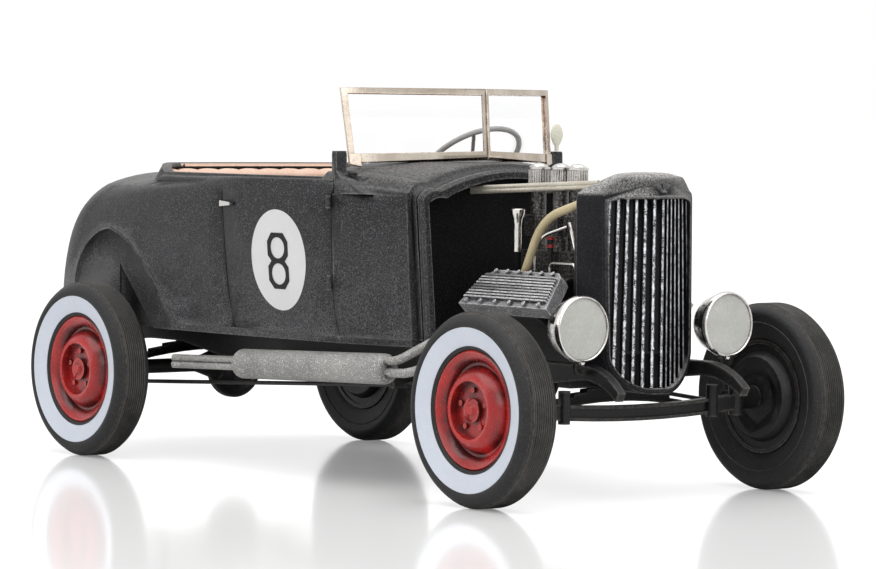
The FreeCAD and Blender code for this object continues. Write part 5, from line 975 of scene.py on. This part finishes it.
def splayed_screen(spot):
    """Screen a little wider at the top, its middle set forward there."""
    low, high = box("windscreen_frame")
    rise = ramp(spot.z, low.z, high.z)
    inside = 1 - abs(spot.y) / high.y
    on_low_bar = abs(spot.y) < LOW_BAR[0] and spot.z < low.z + LOW_BAR[1]
    return Vector((spot.x + rise * (SCREEN_AHEAD + SCREEN_PROW * inside),
                   spot.y * (1 + SCREEN_SPLAY * rise),
                   spot.z - LOW_BAR_DROP if on_low_bar else spot.z))


def slim_post(spot):
    """Windscreen post grown slender above its foot."""
    x, y, z = spot
    inner = POST_MIDDLE - POST_HALF
    slim = Vector((POST_BACK - POST_SET_BACK + (x - POST_BACK) * POST_SLIM[0],
                   math.copysign(inner + (abs(y) - inner) * POST_SLIM[1], y), z))
    return spot.lerp(slim, smooth(z, *POST_FOOT))


def body_form(spot):
    """Slender windscreen posts, a fuller cowl and the rear of the rim set forward."""
    x, y, z = spot
    on_post_side = abs(abs(abs(y) - POST_MIDDLE) - POST_HALF) < POST_FIT
    if on_post_side and z > POST_LOW and x > POST_BACK - POST_REACH:
        return slim_post(spot)
    ahead = RIM_SHIFT * hump(x, *RIM_SPAN) * smooth(z, *RIM_HEIGHTS)
    shoulder = hump(x, *COWL_SPAN) * hump(abs(y), *COWL_WIDTH)
    return Vector((x + ahead, y, z + COWL_LIFT * shoulder * smooth(z, *COWL_HEIGHTS)))


def seat_form(spot):
    """Seat back drawn clear of the rim."""
    low, high = box("seat_back")
    ahead = SEAT_AHEAD * (high.x - spot.x) / (high.x - low.x) * smooth(spot.z, *SEAT_HEIGHTS)
    return Vector((spot.x + ahead, spot.y, spot.z))


def lined_body():
    """Body skin whose rim is tan where it looks into the cockpit."""
    def is_tan(polygon):
        spot, normal = polygon.center / MM, polygon.normal
        at_rim = spot.z > TRIM_FOOT and TRIM_REAR < spot.x < TRIM_FRONT
        upright = abs(normal.z) < 0.6
        inwards = normal.y * math.copysign(1, spot.y) < -0.75 and abs(spot.y) > TRIM_SIDE
        forwards = normal.x > 0.9
        return at_rim and upright and (inwards or forwards)

    mesh = moved(merged_mesh("body_shell"), body_form)
    two_toned(mesh, MATERIALS["body_paint"], MATERIALS["tan_trim"], is_tan)
    finished("body_shell_skin", mesh, "body_paint", replaces="body_shell",
             angle=SKIN_SHARP)


def filled_rail(spot):
    """Raise the rail's level top to the floor above it."""
    floor_low, wall = box("floor_pan")[0].z, box("firewall")[0].x
    if spot.x < wall and abs(spot.z - RAIL_LEVEL) < RAIL_FIT and floor_low > spot.z:
        return Vector((spot.x, spot.y, floor_low - FLOOR_GAP))
    return spot


breather()
distributor()
lined_body()
ALREADY = ("body_shell", "tyre_", "rim_", "drum_", "grille_insert", "headlamp_",
           "oil_breather", "distributor")
HOW = {
    "grille_shell": {"material": SHELL_PAINT, "rule": round_shell, "angle": SHELL_SHARP},
    "intake_manifold": {"material": CARB_METAL},
    "mirror": {"rule": set_mirror},
    "hood_rods": {"swell": 0.06, "material": ROD_METAL},
    "rail_left": {"rule": filled_rail},
    "rail_right": {"rule": filled_rail},
    "windscreen_frame": {"rule": splayed_screen},
    "windscreen_panes": {"rule": splayed_screen},
    "seat_back": {"rule": seat_form},
    "firewall": {"material": BAY_BLACK_AND_SHADE},
    "exhaust_left": {"material": EXHAUST_SILVER},
    "exhaust_right": {"material": EXHAUST_SILVER},
}
for node in SLOT:
    if not node.startswith(ALREADY):
        skin(node, **HOW.get(node, {}))

# ------------------------------------------------------------------- camera, studio
SENSOR, FOCAL_LENGTH = 36.0, 162.15
CAMERA_FROM_AXLE = Vector((164.58, -115.45, 17.34))  # from the ground under the rear axle
YAW, PITCH, ROLL = math.radians(141.998), math.radians(-2.541), math.radians(0.6456)
FLOOR_HALF = 6.0                 # metres
FLOOR_LIFT = 0.20                # white added to the floor where it is looked at
SKY_LIGHT = 0.55                 # strength of the white surroundings as a light
SOFTBOXES = (                    # name, place, target and size in metres, watts
    ("top softbox", (0.02, -0.02, 0.22), (0, 0, 0), (0.30, 0.30), 0.50),
    ("front softbox", (0.25, -0.10, 0.14), (0, 0, 0.008), (0.16, 0.16), 0.16),
    ("right softbox", (-0.05, -0.26, 0.12), (0, 0, 0.008), (0.20, 0.16), 0.12),
)


def camera():
    """Camera a little above bumper height, off the right front corner."""
    data = bpy.data.cameras.new("camera")
    data.sensor_width = SENSOR
    data.lens = FOCAL_LENGTH
    data.clip_start = 0.001
    data.clip_end = 10.0
    rig = bpy.data.objects.new("camera", data)
    bpy.context.scene.collection.objects.link(rig)
    ahead = Vector((math.cos(PITCH) * math.cos(YAW), math.cos(PITCH) * math.sin(YAW),
                    math.sin(PITCH)))
    right = ahead.cross(Vector((0, 0, 1))).normalized()
    up = right.cross(ahead)
    tilted_right = right * math.cos(ROLL) + up * math.sin(ROLL)
    tilted_up = up * math.cos(ROLL) - right * math.sin(ROLL)
    turn = Matrix((tilted_right, tilted_up, -ahead)).transposed()
    place = (Vector((middle("tyre_rear_right").x, 0, 0)) + CAMERA_FROM_AXLE) * MM
    rig.matrix_world = Matrix.Translation(place) @ turn.to_4x4()
    bpy.context.scene.camera = rig


def floor():
    """Pale sheet with a soft gloss, white up to the horizon."""
    mesh = bpy.data.meshes.new("floor")
    size = FLOOR_HALF
    mesh.from_pydata([(-size, -size, 0), (size, -size, 0), (size, size, 0), (-size, size, 0)],
                     [], [(0, 1, 2, 3)])
    plane = bpy.data.objects.new("floor", mesh)
    bpy.context.scene.collection.objects.link(plane)
    finish = Finish("pale floor", 0.11, Base_Color=(0.86, 0.86, 0.855),
                    Specular_IOR_Level=0.35, Emission_Color=(1.0, 1.0, 1.0))
    path = finish.nodes.new("ShaderNodeLightPath").outputs
    finish.set(Emission_Strength=finish.times(path["Is Camera Ray"], FLOOR_LIFT))
    mesh.materials.append(finish.material)


def softbox(name, place, target, size, power):
    """Rectangular lamp that looks at a target."""
    data = bpy.data.lights.new(name, "AREA")
    data.shape = "RECTANGLE"
    data.size, data.size_y = size
    data.energy = power
    lamp = bpy.data.objects.new(name, data)
    bpy.context.scene.collection.objects.link(lamp)
    lamp.location = place
    lamp.rotation_euler = (Vector(target) - Vector(place)).to_track_quat("-Z", "Y").to_euler()


def surroundings():
    """Even white world: full where it is seen or mirrored, softer as a light."""
    world = bpy.data.worlds.new("studio")
    bpy.context.scene.world = world
    world.use_nodes = True
    sky = Shading(world.node_tree)
    path = sky.nodes.new("ShaderNodeLightPath").outputs
    seen = sky.math("MAXIMUM", path["Is Camera Ray"], path["Is Transmission Ray"])
    seen = sky.math("MAXIMUM", seen, path["Is Glossy Ray"])
    backdrop = sky.nodes["Background"].inputs
    backdrop["Color"].default_value = (1.0, 1.0, 1.0, 1.0)
    sky.links.new(sky.remap(seen, 0.0, 1.0, SKY_LIGHT, 1.0), backdrop["Strength"])


camera()
floor()
for lamp in SOFTBOXES:
    softbox(*lamp)
surroundings()
bpy.context.scene.view_settings.view_transform = "Standard"
